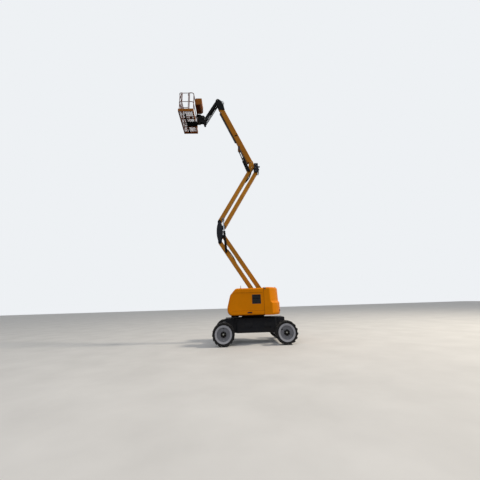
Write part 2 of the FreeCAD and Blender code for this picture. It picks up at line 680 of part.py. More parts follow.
def rim():
    """A rim with flanges, a recessed disc with two holes, and a planetary hub."""
    lip = "rim_half_width - rim_wall"
    inner = "rim_radius - rim_wall"
    face = "disc_inset + disc_wall"
    body = turned("rim_turned", [
        ("0", "disc_inset"),
        (inner, "disc_inset"),
        (inner, "-rim_half_width"),
        ("rim_lip_radius", "-rim_half_width"),
        ("rim_lip_radius", f"-({lip})"),
        ("rim_radius", f"-({lip})"),
        ("rim_radius", lip),
        ("rim_lip_radius", lip),
        ("rim_lip_radius", "rim_half_width + rim_dish"),
        (inner, "rim_half_width"),
        (inner, face),
        ("hub_radius", face),
        ("hub_radius", f"{face} + hub_length"),
        ("0", f"{face} + hub_length"),
    ])
    span = ("disc_inset - 1", f"{face} + 1")
    holes = [drum(f"disc_hole{i}", "Y", ("0", f"{sign} * disc_hole_ring"), span, "disc_hole_radius")
             for i, sign in enumerate((1, -1))]
    return cut("rim", body, join("disc_holes", *holes))


def wheels():
    """The same tyre and rim at each of the four corners, turned to where they stopped."""
    one_tyre = tyre()
    one_rim = rim()
    for end, x, turn in (("front", "front_axle_x", 0), ("rear", "-rear_axle_x", 58)):
        for hand, sign in SIDES:
            spin = FreeCAD.Rotation(Vector(0, 1, 0), turn)
            place = FreeCAD.Placement(
                Vector(size(x), sign * size("track_width / 2"), size("tyre_diameter / 2")),
                FreeCAD.Rotation(Vector(0, 0, 1), 0 if sign > 0 else 180) * spin,
            )
            for piece, item in (("rim", one_rim), ("tyre", one_tyre)):
                copy = doc.addObject("Part::Compound", f"{end}_{hand}_{piece}")
                copy.Links = [item]
                keep(f"{end}_{hand}_{piece}", copy, place)


def turntable():
    """Deck, riser towers, bulkheads, counterweight and engine."""
    deck_top = "turret_bottom + deck_thickness"
    bottom = "turret_bottom + seat_gap"
    deck = block("deck", ("-tail_front", "deck_front"), ("-deck_half_width", "deck_half_width"),
                 (bottom, deck_top))
    tongue = block("deck_tongue", ("-tail_slot", "-tail_front"),
                   ("-hood_inner + 20", "hood_inner - 20"), (bottom, deck_top))
    stop = block("slew_stop", ("deck_front - 270", "deck_front + 40"), ("-150", "150"),
                 ("frame_top + 25", bottom))
    fx, fz = arm_foot
    lx, lz = link_foot
    tower = plate(
        "tower",
        [
            (f"{lx} - 130", deck_top),
            (f"{fx} + 300", deck_top),
            (f"{fx} + 150", f"{fz} - 60"),
            (f"{fx} + 90", f"{fz} + 90"),
            (f"{lx} + 80", f"{lz} + 105"),
            (f"{lx} - 80", f"{lz} + 105"),
            (f"{lx} - 130", f"{lz} + 10"),
        ],
        "plate_inner",
        "tower_wall",
        rounds=(2, 3, 4, 5, 6),
        radius="55",
    )
    spots = ((fx, fz), (lx, lz))
    back = block("tower_back", (f"{lx} - 130", f"{lx} - 110"), ("-plate_inner", "plate_inner"),
                 (deck_top, f"{lz} - 120"))
    bulkhead = plate(
        "bulkhead",
        [
            ("-hood_back + 5", deck_top),
            ("hood_chin_x - 50", deck_top),
            ("hood_nose_x - 80", "hood_nose_z"),
            ("hood_shoulder_x - 60", "hood_shoulder_z"),
            ("hood_brow_x - 60", "turret_top - hinge_drop - hinge_radius - 10"),
            ("-hood_back + 5", "turret_top - hinge_drop - hinge_radius - 10"),
        ],
        "hood_inner - 15",
        "15",
        rounds=(2, 3, 4),
        radius="60",
    )
    hinges = []
    for i, x in enumerate(HINGES):
        start = f"{x} + hinge_length + seat_gap"
        axis_z = "turret_top - hinge_drop"
        barrel = drum(f"frame_hinge{i}", "X", ("hood_inner", axis_z),
                      (start, f"{start} + hinge_length"), "hinge_radius")
        leaf = block(f"frame_leaf{i}", (start, f"{start} + hinge_length"),
                     ("hood_inner - 15", "hood_inner"), (f"{axis_z} - hinge_radius - 20", axis_z))
        for piece in (barrel, leaf):
            hinges += pair(piece)
    frame = join(
        "turntable_frame", deck, tongue, stop, back, *pair(tower), *pair(bulkhead), *hinges,
        *pin_heads("tower", spots, "plate_inner + tower_wall"),
    )
    keep("turntable_frame", frame)

    tail_top = "turret_top + tail_rise"
    mass = block("tail_block", ("-tail_reach - 1", "-tail_front"),
                 ("-turret_half_width", "turret_half_width"), ("tail_bottom", tail_top))
    lower = "(tail_reach + tail_centre)"
    upper = f"{lower} - tail_step"
    arc = turned("tail_arc", [
        ("0", "tail_bottom"),
        (f"{lower} - 25", "tail_bottom"),
        (lower, "tail_bottom + 70"),
        (lower, "tail_step_z - 70"),
        (upper, "tail_step_z"),
        (f"{upper} - 20", tail_top),
        ("0", tail_top),
    ], "XZ_Plane")
    bind(arc, Placement__Base__x="tail_centre")
    common = doc.addObject("Part::Common", "tail_common")
    common.Base = mass
    common.Tool = arc
    doc.recompute()
    top = size(tail_top)
    front = -size("tail_front")
    chosen = []
    for i, edge in enumerate(common.Shape.Edges, start=1):
        points = [v.Point for v in edge.Vertexes]
        if all(abs(p.z - top) < 0.01 for p in points) and not all(
            abs(p.x - front) < 0.01 for p in points
        ):
            chosen.append((i, size("tail_round"), size("tail_round")))
    rounded = doc.addObject("Part::Fillet", "tail_rounded")
    rounded.Base = common
    rounded.Edges = chosen
    slot = block("tail_slot_cut", ("-tail_slot", "-tail_front + 1"),
                 ("-hood_inner + 20", "hood_inner - 20"), ("tail_bottom - 1", f"{tail_top} + 1"))
    keep("counterweight", cut("counterweight", rounded, slot))
    keep("engine_block", block("engine_block", ("-290", "620"), ("430", "850"),
                               (deck_top, f"{deck_top} + engine_height")))
    keep("hydraulic_tank", block("hydraulic_tank", ("-290", "500"), ("-830", "-430"),
                                 (deck_top, f"{deck_top} + engine_height - 100")))


def hoods():
    """Two moulded hoods hinged along the bulkheads' upper edges, with side panels and vents."""
    outline = [
        ("-hood_back", "hood_bottom"),
        ("hood_chin_x", "hood_bottom"),
        ("hood_lip_x", "hood_lip_z"),
        ("hood_nose_x", "hood_nose_z"),
        ("hood_shoulder_x", "hood_shoulder_z"),
        ("hood_brow_x", "turret_top"),
        ("-hood_back", "turret_top"),
    ]
    inside = [
        ("-hood_back - 50", "hood_bottom - 50"),
        ("hood_chin_x - hood_wall - 48", "hood_bottom - 50"),
        ("hood_lip_x - hood_wall - 12", "hood_lip_z"),
        ("hood_nose_x - hood_wall - 2", "hood_nose_z"),
        ("hood_shoulder_x - hood_wall - 2", "hood_shoulder_z"),
        ("hood_brow_x - hood_wall - 4", "turret_top - hood_wall"),
        ("-hood_back - 50", "turret_top - hood_wall"),
    ]
    near = "hood_inner + seat_gap"
    depth = f"turret_half_width - ({near})"
    for hand, sign in SIDES:
        body = doc.addObject("PartDesign::Body", f"hood_shell_{hand}")
        sketch = new_sketch(body, "XZ_Plane", f"-({near})")
        draw_outline(sketch, outline)
        item = pad(body, sketch, depth, True)
        along = Vector(0, 1, 0)
        spots = [(size(outline[i][0]), size(outline[i][1])) for i in (1, 2, 3, 4, 5)]
        item = round_edges(
            body, item, lambda e: any(upright(e, along, x, z) for x, z in spots), "hood_round"
        )
        face = size("turret_half_width")
        back = -size("hood_back")
        low = size("hood_bottom")

        def rim(edge):
            points = [v.Point for v in edge.Vertexes]
            on_face = all(abs(p.y - face) < 0.01 for p in points)
            at_back = all(abs(p.x - back) < 0.01 for p in points)
            at_low = all(abs(p.z - low) < 0.01 for p in points)
            return on_face and not at_back and not at_low

        round_edges(body, item, rim, "hood_rim_round")
        inner_sketch = new_sketch(body, "XZ_Plane", f"-({near})")
        draw_outline(inner_sketch, inside)
        pocket = body.newObject("PartDesign::Pocket", f"hood_cavity_{hand}")
        pocket.Profile = inner_sketch
        pocket.Reversed = False
        bind(pocket, Length=f"{depth} - hood_wall")
        doc.recompute()
        if pocket.Shape.Volume > item.Shape.Volume * 0.6:
            pocket.Reversed = True
        x = ("vent_middle_x - vent_half", "vent_middle_x + vent_half")
        z = ("vent_middle_z - vent_half", "vent_middle_z + vent_half")
        wall = ("turret_half_width - hood_wall - 1", "turret_half_width + 1")
        window = block(f"vent_hole_{hand}", x, wall, z)
        latch = block(f"latch_hole_{hand}", ("latch_middle_x - 95", "latch_middle_x + 95"),
                      ("turret_half_width - 12", "turret_half_width + 1"),
                      ("latch_z - 30", "latch_z + 30"))
        panel = plate(
            f"hood_panel_{hand}",
            [
                ("-hood_back + 30", "panel_low"),
                (f"hood_nose_x - panel_inset * 1.3", "panel_low"),
                (f"hood_nose_x - panel_inset", "hood_nose_z"),
                (f"hood_shoulder_x - panel_inset", "hood_shoulder_z"),
                (f"hood_shoulder_x - panel_inset * 1.6", "panel_high"),
                ("-hood_back + 30", "panel_high"),
            ],
            "turret_half_width - panel_depth",
            "panel_depth + 1",
            rounds=(1, 4),
            radius="40",
        )
        body = cut(f"hood_cut_{hand}", body, join(f"hood_holes_{hand}", window, latch, panel))
        axis_z = "turret_top - hinge_drop"
        extras = []
        for i, hinge_x in enumerate(HINGES):
            span = (hinge_x, f"{hinge_x} + hinge_length")
            extras.append(drum(f"hood_barrel_{hand}{i}", "X", (near, axis_z), span, "hinge_radius"))
            extras.append(block(f"hood_leaf_{hand}{i}", span, (near, f"{near} + 10"),
                                (axis_z, "turret_top - hood_wall + 1")))
        if sign > 0:
            extras.append(drum("alarm_post", "Z", ("post_x", "turret_half_width - 170"),
                               ("turret_top - 5", "turret_top + post_height"), "15"))
        shell = join(f"hood_whole_{hand}", body, *extras)
        face_y = "turret_half_width - panel_depth"
        frame = block(f"vent_edge_{hand}", x, (f"{face_y} - 19", f"{face_y} - 1"), z)
        hole = block(
            f"vent_inner_{hand}",
            ("vent_middle_x - vent_half + vent_frame", "vent_middle_x + vent_half - vent_frame"),
            wall,
            ("vent_middle_z - vent_half + vent_frame", "vent_middle_z + vent_half - vent_frame"),
        )
        pieces = [cut(f"vent_rim_{hand}", frame, hole)]
        count = int(size("vent_slats"))
        for i in range(count):
            middle = f"vent_middle_z + vent_half * 2 * ({i} + 0.5) / vent_slats - vent_half"
            pieces.append(block(f"slat_{hand}_{i}", x,
                                (f"{face_y} - 17", f"{face_y} - 5"),
                                (f"{middle} - 14", f"{middle} + 14")))
        grille = join(f"vent_grille_{hand}", *pieces)
        if sign < 0:
            shell, grille = mirror(shell), mirror(grille)
        keep(f"hood_{hand}", shell)
        keep(f"hood_vent_{hand}", grille)


def tube_arm(name, length, depth, extras=()):
    """A riser tube along X with rounded ends about its pivots."""
    body = link_plate(
        name,
        [("0", "0", f"{depth} / 2"), (length, "0", f"{depth} / 2")],
        "-arm_half_width",
        "arm_half_width * 2",
    )
    return join(f"{name}_arm", body, *extras) if extras else body


def trunnions(name, x, z="0", low="arm_half_width", high="riser_cyl_y"):
    """Round stubs on both sides that reach to a cylinder's eyes."""
    stub = drum(f"{name}_stub", "Y", (x, z), (low, f"{high} - eye_half_width - seat_gap"), "45")
    return pair(stub)


def cylinder(name, y, foot, head, length, tail, barrel_radius, rod_radius, eye):
    """Barrel and rod along X from the foot pin, for one side; the rod reaches the head pin."""
    width = (f"{y} - {eye}", f"{y} + {eye}")
    distance, angle = bearing(foot, head)
    pieces = [
        drum(f"{name}_tube", "X", (y, "0"), ("0", length), barrel_radius),
        drum(f"{name}_gland", "X", (y, "0"), (f"{length} - 46", length), f"{barrel_radius} + 6"),
        drum(f"{name}_eye", "Y", ("0", "0"), width, f"{barrel_radius} + 8"),
    ]
    bore = drum(f"{name}_bore", "X", (y, "0"), ("80", f"{length} + 1"), f"{rod_radius} + rod_gap")
    barrel = cut(f"{name}_barrel_side", join(f"{name}_solid", *pieces), bore)
    rod = join(
        f"{name}_rod_side",
        drum(f"{name}_shaft", "X", (y, "0"), (tail, f"{distance}"), rod_radius),
        drum(f"{name}_head", "Y", (f"{distance}", "0"), width, f"{rod_radius} + 18"),
    )
    return barrel, rod, at(foot, angle)


def riser():
    """Lower and upper arms with their links, the middle bracket, the knuckle and the cylinders."""
    foot = trunnions("riser_foot", "riser_cyl_foot")
    keep("lower_arm", tube_arm("lower_tube", "riser_length", "arm_depth", foot),
         at(arm_foot, size("riser_angle")))
    keep("lower_link", tube_arm("lower_link", "riser_length", "arm_depth"),
         at(link_foot, size("riser_angle")))
    head = trunnions("riser_head", "riser_cyl_head", "riser_cyl_head_side")
    lug = link_plate(
        "riser_head_lug",
        [("riser_cyl_head", "riser_cyl_head_side", "52"),
         ("riser_cyl_head + 30", "0", "40"),
         ("riser_cyl_head + 170", "24", "40")],
        "arm_half_width",
        "18",
    )
    head += pair(lug)
    keep("upper_arm", tube_arm("upper_tube", "upper_length", "arm_depth", head),
         at(upper_foot, size("upper_angle")))
    slot = block("link_slot", ("upper_length - fork_depth", "upper_length + arm_depth"),
                 ("-fork_half - seat_gap", "fork_half + seat_gap"), ("-arm_depth", "arm_depth"))
    keep("upper_link", cut("upper_link", tube_arm("upper_link_bar", "upper_length", "arm_depth"), slot),
         at(upper_link_foot, size("upper_angle")))

    # The middle bracket's own origin is the lower arm's top pivot.
    link_dx, link_dz = link_top[0] - arm_top[0], link_top[1] - arm_top[1]
    up = ("bracket_lean", "bracket_rise")
    up_link = ("bracket_lean - upper_link_back", "bracket_rise - upper_link_drop")
    low_link = (f"{link_dx}", f"{link_dz}")
    face = ("plate_inner", "plate_wall")
    fork = (f"{up[1]} - bracket_fork", "bracket_fork")
    spine = link_plate("bracket_spine", [("0", "0", "bracket_spine"), (*up, "bracket_spine")], *face)
    high_lobe = link_plate("bracket_high", [(up[0], fork[0], "bracket_eye"),
                                            (*up_link, "bracket_eye")], *face)
    low_lobe = link_plate("bracket_low", [("0", fork[1], "bracket_eye"),
                                          (*low_link, "bracket_eye")], *face)
    tube = drum("bracket_tube", "Y", ("bracket_lean / 2", "bracket_rise / 2"),
                ("-plate_inner", "plate_inner"), "57")
    keep("middle_bracket", join(
        "middle_bracket", *pair(spine), *pair(high_lobe), *pair(low_lobe), tube,
        *pin_heads("bracket", (up_link, low_link), "plate_inner + plate_wall"),
    ), at(arm_top))
    cover_x, cover_z = "bracket_lean / 2 + 1", "bracket_rise / 2 + 13"
    seat = "plate_inner + plate_wall"
    flat = oval("cover_side", (cover_x, cover_z), "cover_radius", "cover_half_height",
                seat, "cover_wall")
    crown = oval("cover_crown", (cover_x, cover_z), "cover_radius - cover_border",
                 "cover_half_height - cover_border", seat, "cover_wall + cover_crown")
    cover = join("cover_half", flat, crown)
    keep("middle_cover", join("middle_cover", *pair(cover)), at(arm_top))

    # The knuckle's own origin is the upper arm's top pivot.
    link_dx, link_dz = upper_link_top[0] - upper_top[0], upper_link_top[1] - upper_top[1]
    lift_x = "boom_foot_dx + lift_foot_dx"
    lift_z = "boom_foot_dz - lift_foot_drop"
    side = link_plate(
        "knuckle_side",
        [("0", "0", "88"), (lift_x, lift_z, "62"), ("boom_foot_dx", "boom_foot_dz", "94"),
         ("-68", "60", "74")],
        "plate_inner",
        "plate_wall",
    )
    lugs = drum("lift_stub", "Y", (lift_x, lift_z),
                ("plate_inner + plate_wall", "lift_cyl_y - eye_half_width - seat_gap"), "45")
    tie = block("knuckle_tie", ("-118", "-104"), ("-plate_inner", "plate_inner"), ("0", "130"))
    spots = (("0", "0"), ("boom_foot_dx", "boom_foot_dz"))
    keep("upper_knuckle", join(
        "upper_knuckle", *pair(side), *pair(lugs), tie,
        *pin_heads("knuckle", spots, "plate_inner + plate_wall"),
    ), at(upper_top))
    # The link's tongue, with a guard behind the end of the link.
    tongue = link_plate(
        "link_tongue",
        [(f"{link_dx}", f"{link_dz}", "fork_eye"),
         ("-118 - seat_gap - (fork_eye - 20)", "60", "fork_eye - 20")],
        "-fork_half",
        "fork_half * 2",
    )
    rear = f"{link_dx} - 135"
    seat = "plate_inner - seat_gap"
    guard = block("link_guard", (rear, f"{rear} + 15"), (f"-({seat})", seat),
                  (f"{link_dz} - 90", "60"))
    shelf = block("link_shelf", (rear, "-120"), (f"-({seat})", seat), (f"{link_dz} + 115", f"{link_dz} + 135"))
    keep("knuckle_bracket", join("knuckle_bracket", tongue, guard, shelf), at(upper_top))
    face = "plate_inner + plate_wall"
    box = block("knuckle_box", (f"{link_dx} - 98", "-120"), (face, f"{face} + 62"),
                (f"{link_dz} - 48", "boom_foot_dz - 87"))
    knob = block("knuckle_knob", (f"{link_dx} - 190", f"{link_dx} - 98"),
                 (f"{face} + 10", f"{face} + 50"), ("-25", "35"))
    keep("valve_covers", join("valve_covers", *pair(box), *pair(knob)), at(upper_top))

    barrel, rod, place = cylinder(
        "riser_cyl", "riser_cyl_y", riser_cyl_foot, riser_cyl_head,
        "riser_barrel", "riser_rod_tail", "barrel_radius", "rod_radius", "eye_half_width",
    )
    keep("riser_cylinder_barrels", join("riser_cylinder_barrels", *pair(barrel)), place)
    keep("riser_cylinder_rods", join("riser_cylinder_rods", *pair(rod)), place)


def main_boom():
    """Outer tube with its foot and cylinder cheeks, extension, head, hose carrier, cylinders."""
    top = "boom_depth / 2 - boom_axis_drop"
    bottom = "-boom_depth / 2 - boom_axis_drop"
    wide = ("-boom_half_width", "boom_half_width")
    body = doc.addObject("PartDesign::Body", "boom_tube_walls")
    sketch = new_sketch(body, "YZ_Plane", "boom_start")
    draw_outline(sketch, [("-boom_half_width", bottom), ("boom_half_width", bottom),
                          ("boom_half_width", top), ("-boom_half_width", top)])
    item = pad(body, sketch, "boom_end - boom_start", False)
    round_edges(body, item, lambda e: len(e.Vertexes) == 2 and
                abs((e.Vertexes[1].Point - e.Vertexes[0].Point).x) > 100, "22")
    hole = block(
        "boom_hole",
        ("boom_plug", "boom_end + 1"),
        ("-boom_half_width + boom_wall", "boom_half_width - boom_wall"),
        (f"{bottom} + boom_wall", f"{top} - boom_wall"),
    )
    walls = cut("boom_walls", body, hole)
    foot = drum("boom_foot_eye", "Y", ("0", "0"), wide, "95")
    cheek = link_plate(
        "boom_cheek",
        [("lift_head", "-lift_head_drop", "50"), ("lift_head + 190", f"{bottom} + 70", "60"),
         ("lift_head - 190", f"{bottom} + 70", "60")],
        "boom_half_width",
        "18",
    )
    stub = drum("boom_stub", "Y", ("lift_head", "-lift_head_drop"),
                ("boom_half_width + 18", "lift_cyl_y - eye_half_width - seat_gap"), "42")
    mouth = ("boom_end - pad_length", "boom_end")
    pads = [
        block("mouth_low", mouth, ("-60", "60"),
              (f"{bottom} + boom_wall", f"{bottom} + boom_wall + slide_gap - seat_gap")),
        block("mouth_top", mouth, ("-60", "60"),
              (f"{top} - boom_wall - slide_gap + seat_gap", f"{top} - boom_wall")),
    ]
    keep("boom_outer", join("boom_outer", walls, foot, *pair(cheek), *pair(stub), *pads),
         at(boom_foot, size("boom_angle")))

    in_wide = "boom_half_width - boom_wall - slide_gap"
    in_top = f"{top} - boom_wall - slide_gap"
    in_low = f"{bottom} + boom_wall + slide_gap"
    tube = block("extension_tube", ("extension_tail", "extension_end"),
                 (f"-({in_wide})", in_wide), (in_low, in_top))
    tail = ("extension_tail", "extension_tail + pad_length")
    pads = [
        block("tail_low", tail, ("-60", "60"), (f"{in_low} - slide_gap + seat_gap", in_low)),
        block("tail_top", tail, ("-60", "60"), (in_top, f"{in_top} + slide_gap - seat_gap")),
    ]
    keep("boom_extension", join("boom_extension", tube, *pads),
         at(boom_foot, size("boom_angle")))

    start = "boom_end + 6"
    side = plate(
        "head_side",
        [
            (f"{start} + head_skirt", f"{bottom} + 8"),
            ("jib_pivot - 330", f"{bottom} + 30"),
            ("jib_pivot + 20", "-100"),
            ("jib_pivot + 82", "5"),
            ("jib_pivot + 55", "75"),
            ("jib_pivot - 130", "165"),
            ("jib_pivot - 370", "185"),
            (start, f"{top} + 10"),
        ],
        "head_inner",
        "head_wall",
        rounds=(1, 2, 3, 4, 5, 6),
        radius="50",
    )
    seat = "extension_end + seat_gap"
    base = block("head_base", (seat, f"{seat} + 30"), ("-head_inner", "head_inner"),
                 (f"{bottom} + 8", f"{top} + 10"))
    crown = plate(
        "head_crown",
        [
            (f"{seat} + 20", f"{top} - 22"),
            ("jib_pivot - 350", "150"),
            ("jib_pivot - 150", "134"),
            ("jib_pivot - 144", "160"),
            ("jib_pivot - 366", "179"),
            (f"{seat} + 20", f"{top} + 6"),
        ],
        "-head_inner",
        "head_inner * 2",
    )
    keep("boom_head", join(
        "boom_head", *pair(side), base, crown,
        *pin_heads("head", (("jib_pivot", "0"),), "head_inner + head_wall"),
    ), at(boom_foot, size("boom_angle")))

    carrier = block("carrier_tray", ("track_start", "track_end"),
                    ("-track_half_width", "track_half_width"), (f"{bottom} - track_depth", bottom))
    clamp = block("carrier_clamp", ("track_start + 60", "track_start + 110"),
                  ("-track_half_width - 14", "track_half_width + 14"),
                  (f"{bottom} - track_depth - 6", bottom))
    far_clamp = block("carrier_far_clamp", ("track_end - 110", "track_end - 60"),
                      ("-track_half_width - 14", "track_half_width + 14"),
                      (f"{bottom} - track_depth - 6", bottom))
    links = []
    for i in range(int(size("(track_end - track_start - 300) / carrier_pitch"))):
        x = f"track_start + 150 + {i} * carrier_pitch"
        links.append(block(f"carrier_link{i}", (x, f"{x} + carrier_pitch * 0.7"),
                           ("-track_half_width - 7", "track_half_width + 7"),
                           (f"{bottom} - track_depth - 4", f"{bottom} - 12")))
    keep("hose_carrier", join("hose_carrier", carrier, clamp, far_clamp, *links),
         at(boom_foot, size("boom_angle")))

    barrel, rod, place = cylinder(
        "lift_cyl", "lift_cyl_y", lift_cyl_foot, lift_cyl_head,
        "lift_barrel", "lift_rod_tail", "barrel_radius", "rod_radius", "eye_half_width",
    )
    keep("lift_cylinder_barrels", join("lift_cylinder_barrels", *pair(barrel)), place)
    keep("lift_cylinder_rods", join("lift_cylinder_rods", *pair(rod)), place)


def jib():
    """Levelling link, jib channel, levelling rods and jib cylinder."""
    side = link_plate("level_side", [("0", "-level_drop", "40"), ("0", "0", "72")],
                      "level_inner", "level_wall")
    tie = block("level_tie", ("-52", "-38"), ("-level_inner", "level_inner"),
                ("-level_drop + 60", "-level_drop + 160"))
    keep("levelling_link", join(
        "levelling_link", *pair(side), tie,
    ), at(jib_foot))

    half = "jib_depth / 2"
    side = link_plate("jib_side", [("0", "0", half), ("jib_length", "0", half)],
                      "jib_half_width - jib_wall", "jib_wall")
    web = block("jib_web", ("0", "jib_length - 40"), ("-jib_half_width + 1", "jib_half_width - 1"),
                (f"{half} - jib_wall", half))
    keep("jib_arm", join("jib_arm", *pair(side), web), at(jib_foot, size("jib_angle")))

    rod = link_plate("jib_rod_side", [("0", "0", "jib_rod_depth / 2 + 4"),
                                      ("jib_length", "0", "jib_rod_depth / 2 + 4")],
                     "jib_rod_y - jib_rod_eye", "jib_rod_eye * 2")
    keep("levelling_rods", join("levelling_rods", *pair(rod)), at(level_foot, size("jib_angle")))

    distance, angle = bearing(level_foot, jib_top)
    foot_half = "jib_rod_y - jib_rod_eye - seat_gap"
    head_half = "jib_half_width - jib_wall - seat_gap"
    tube = join(
        "jib_cyl_solid",
        drum("jib_cyl_tube", "X", ("0", "0"), ("0", "jib_barrel"), "jib_cyl_radius"),
        drum("jib_cyl_eye", "Y", ("0", "0"), (f"-({foot_half})", foot_half), "38"),
    )
    bore = drum("jib_cyl_bore", "X", ("0", "0"), ("60", "jib_barrel + 1"), "jib_cyl_rod + rod_gap")
    keep("jib_cylinder_barrel", cut("jib_cylinder_barrel", tube, bore), at(level_foot, angle))
    keep("jib_cylinder_rod", join(
        "jib_cylinder_rod",
        drum("jib_cyl_shaft", "X", ("0", "0"), ("jib_rod_tail", f"{distance}"), "jib_cyl_rod"),
        drum("jib_cyl_head", "Y", (f"{distance}", "0"), (f"-({head_half})", head_half), "34"),
    ), at(level_foot, angle))


def platform():
    """Rotator and its yoke, floor, guard rails, toe boards, gate and console."""
    # The rotator bracket's own origin is the jib's end pivot.
    low, high = "-rotator_drop", "rotator_rise"
    side = plate(
        "rotator_side",
        [
            ("-70", "-40"), ("-40", "-level_drop - 36"), ("44", "-level_drop - 36"),
            ("90", f"{low}"), ("rotator_x", f"{low} + 30"), ("rotator_x", f"{high} - 40"),
            ("70", f"{high} - 40"), ("-40", "70"),
        ],
        "level_inner",
        "level_wall",
        rounds=(0, 1, 2, 6, 7),
        radius="34",
    )
    housing = drum("rotator_housing", "Z", ("rotator_x", "0"), (low, high), "rotator_radius")
    web = block("rotator_web", ("rotator_x - 120", "rotator_x - 60"),
                ("-level_inner", "level_inner"), (f"{low} + 50", f"{high} - 60"))
    keep("platform_rotator", join(
        "platform_rotator", *pair(side), housing, web,
        *pin_heads("rotator", (("0", "0"),), "level_inner + level_wall"),
    ), at(jib_top))

    # What swings on the rotator has its own origin on the rotator's axis.
    place = at(rotator)
    edge = "platform_gap"
    far = "platform_gap + platform_x"
    half = "platform_y / 2"
    yoke_low = (f"{low} - seat_gap - yoke_wall", f"{low} - seat_gap")
    yoke_high = (f"{high} + seat_gap", f"{high} + seat_gap + yoke_wall")
    under = "-floor_drop - floor_sheet - floor_frame"
    middle = "(platform_gap + platform_x / 2)"
    pieces = [
        drum("yoke_low_disc", "Z", ("0", "0"), yoke_low, "rotator_radius + 8"),
        drum("yoke_high_disc", "Z", ("0", "0"), yoke_high, "rotator_radius + 8"),
        block("yoke_low", ("0", "145"), ("-90", "90"), yoke_low),
        block("yoke_high", ("0", "145"), ("-90", "90"), yoke_high),
        block("yoke_front", ("115", "145"), ("-120", "120"), (yoke_low[0], yoke_high[1])),
        block("yoke_heel", ("115", "145"), ("-yoke_half_width", "yoke_half_width"),
              (f"{under} - yoke_depth", yoke_low[1])),
        block("yoke_arm", ("120", f"{middle} + beam_offset"), ("-yoke_half_width", "yoke_half_width"),
              (f"{under} - yoke_depth", under)),
        block("yoke_beam", (f"{middle} + beam_offset - beam_half_width",
                            f"{middle} + beam_offset + beam_half_width"),
              ("-beam_reach", "beam_reach"), (f"{under} - beam_depth", under)),
    ]
    for i, sign in enumerate((1, -1)):
        pieces.append(drum(f"beam_foot{i}", "Z", (f"{middle} + beam_offset", f"{sign} * beam_reach"),
                           (f"{under} - beam_depth - 22", under), "beam_half_width + 16"))
    keep("platform_support", join("platform_support", *pieces), place)

    # The floor lies inside the toe boards, which reach down over its frame.
    border = "(toe_wall + seat_gap)"
    back, front = f"{edge} + {border}", f"{far} - {border}"
    side = f"{half} - {border}"
    frame_z = (under, "-floor_drop")
    pieces = []
    for name, x0, x1 in (("rear", back, f"{back} + 40"), ("fore", f"{front} - 40", front)):
        pieces.append(block(f"floor_{name}", (x0, x1), (f"-({side})", side), frame_z))
    pieces += pair(block("floor_side", (f"{back} + 40", f"{front} - 40"),
                         (f"{side} - 40", side), frame_z))
    for i, y in enumerate(("-floor_third", "0", "floor_third")):
        pieces.append(block(f"floor_bar{i}", (f"{back} + 40", f"{front} - 40"),
                            (f"{y} - 15", f"{y} + 15"), (under, "-floor_drop - floor_bar_depth")))
    count = int((size("platform_x") - 80) / size("floor_pitch"))
    for i in range(count):
        x = f"{middle} + ({i} - {(count - 1) / 2}) * floor_pitch"
        pieces.append(block(f"grating_{i}", (f"{x} - floor_bar / 2", f"{x} + floor_bar / 2"),
                            (f"-({side}) + 39", f"{side} - 39"),
                            ("-floor_drop - floor_bar_depth", "-floor_drop")))
    keep("platform_floor", join("platform_floor", *pieces), place)

    keep("guard_rails", join("guard_rails", *rail_pieces(edge, far, half)), place)
    toe = ("-floor_drop - toe_reach", "-floor_drop + toe_height")
    outer = block("toe_outer", (edge, far), (f"-{half}", half), toe)
    hollow = block("toe_hollow", (f"{edge} + toe_wall", f"{far} - toe_wall"),
                   (f"-{half} + toe_wall", f"{half} - toe_wall"), (f"{toe[0]} - 1", f"{toe[1]} + 1"))
    keep("toe_boards", cut("toe_boards", outer, hollow), place)

    rail_z = "-floor_drop + rail_height"
    mid = "-floor_drop + mid_rail_height"
    start = f"{edge} + gate_start"
    line_y = f"{half} - rail_radius - toe_wall - seat_gap"
    hinge_x = f"{start} + gate_width"
    left = f"{start} + rail_radius + post_radius + gate_gap"
    right = f"{hinge_x} - rail_radius - post_radius - gate_gap"
    low_z = "-floor_drop + toe_height + gate_gap"
    pieces = [
        drum("gate_post_a", "Z", (left, line_y), (low_z, f"{rail_z} + 8"), "post_radius"),
        drum("gate_post_b", "Z", (right, line_y), (low_z, f"{rail_z} + 8"), "post_radius"),
        drum("gate_top", "X", (line_y, f"{rail_z} - 14"), (left, right), "post_radius - 2"),
        drum("gate_mid", "X", (line_y, mid), (left, right), "post_radius - 2"),
        drum("gate_low", "X", (line_y, f"{low_z} + 60"), (left, right), "post_radius - 2"),
    ]
    for i, height in enumerate((f"{low_z} + 90", f"{rail_z} - 140")):
        span = (height, f"{height} + collar_height")
        pieces.append(drum(f"gate_collar{i}", "Z", (hinge_x, line_y), span,
                           "post_radius + collar_wall"))
        pieces.append(block(f"gate_leaf{i}", (right, hinge_x),
                            (f"{line_y} - 5", f"{line_y} + 5"), span))
    pin = drum("gate_pin", "Z", (hinge_x, line_y), (low_z, rail_z), "post_radius + seat_gap")
    keep("platform_gate", cut("platform_gate", join("gate_solid", *pieces), pin), place)

    back = f"{edge} + toe_wall"
    low_y = "console_shift - console_length / 2"
    top = "-floor_drop + rail_height + console_rise"
    keep("control_console", plate_across(
        "control_console",
        [
            (back, f"{top} - console_height"),
            (back, f"{top} - 40"),
            (f"{back} - 60", top),
            (f"{back} - console_depth", top),
            (f"{back} - console_depth", f"{top} - console_height + 90"),
            (f"{back} - console_depth + 90", f"{top} - console_height"),
        ],
        low_y,
        "console_length",
        ), place)


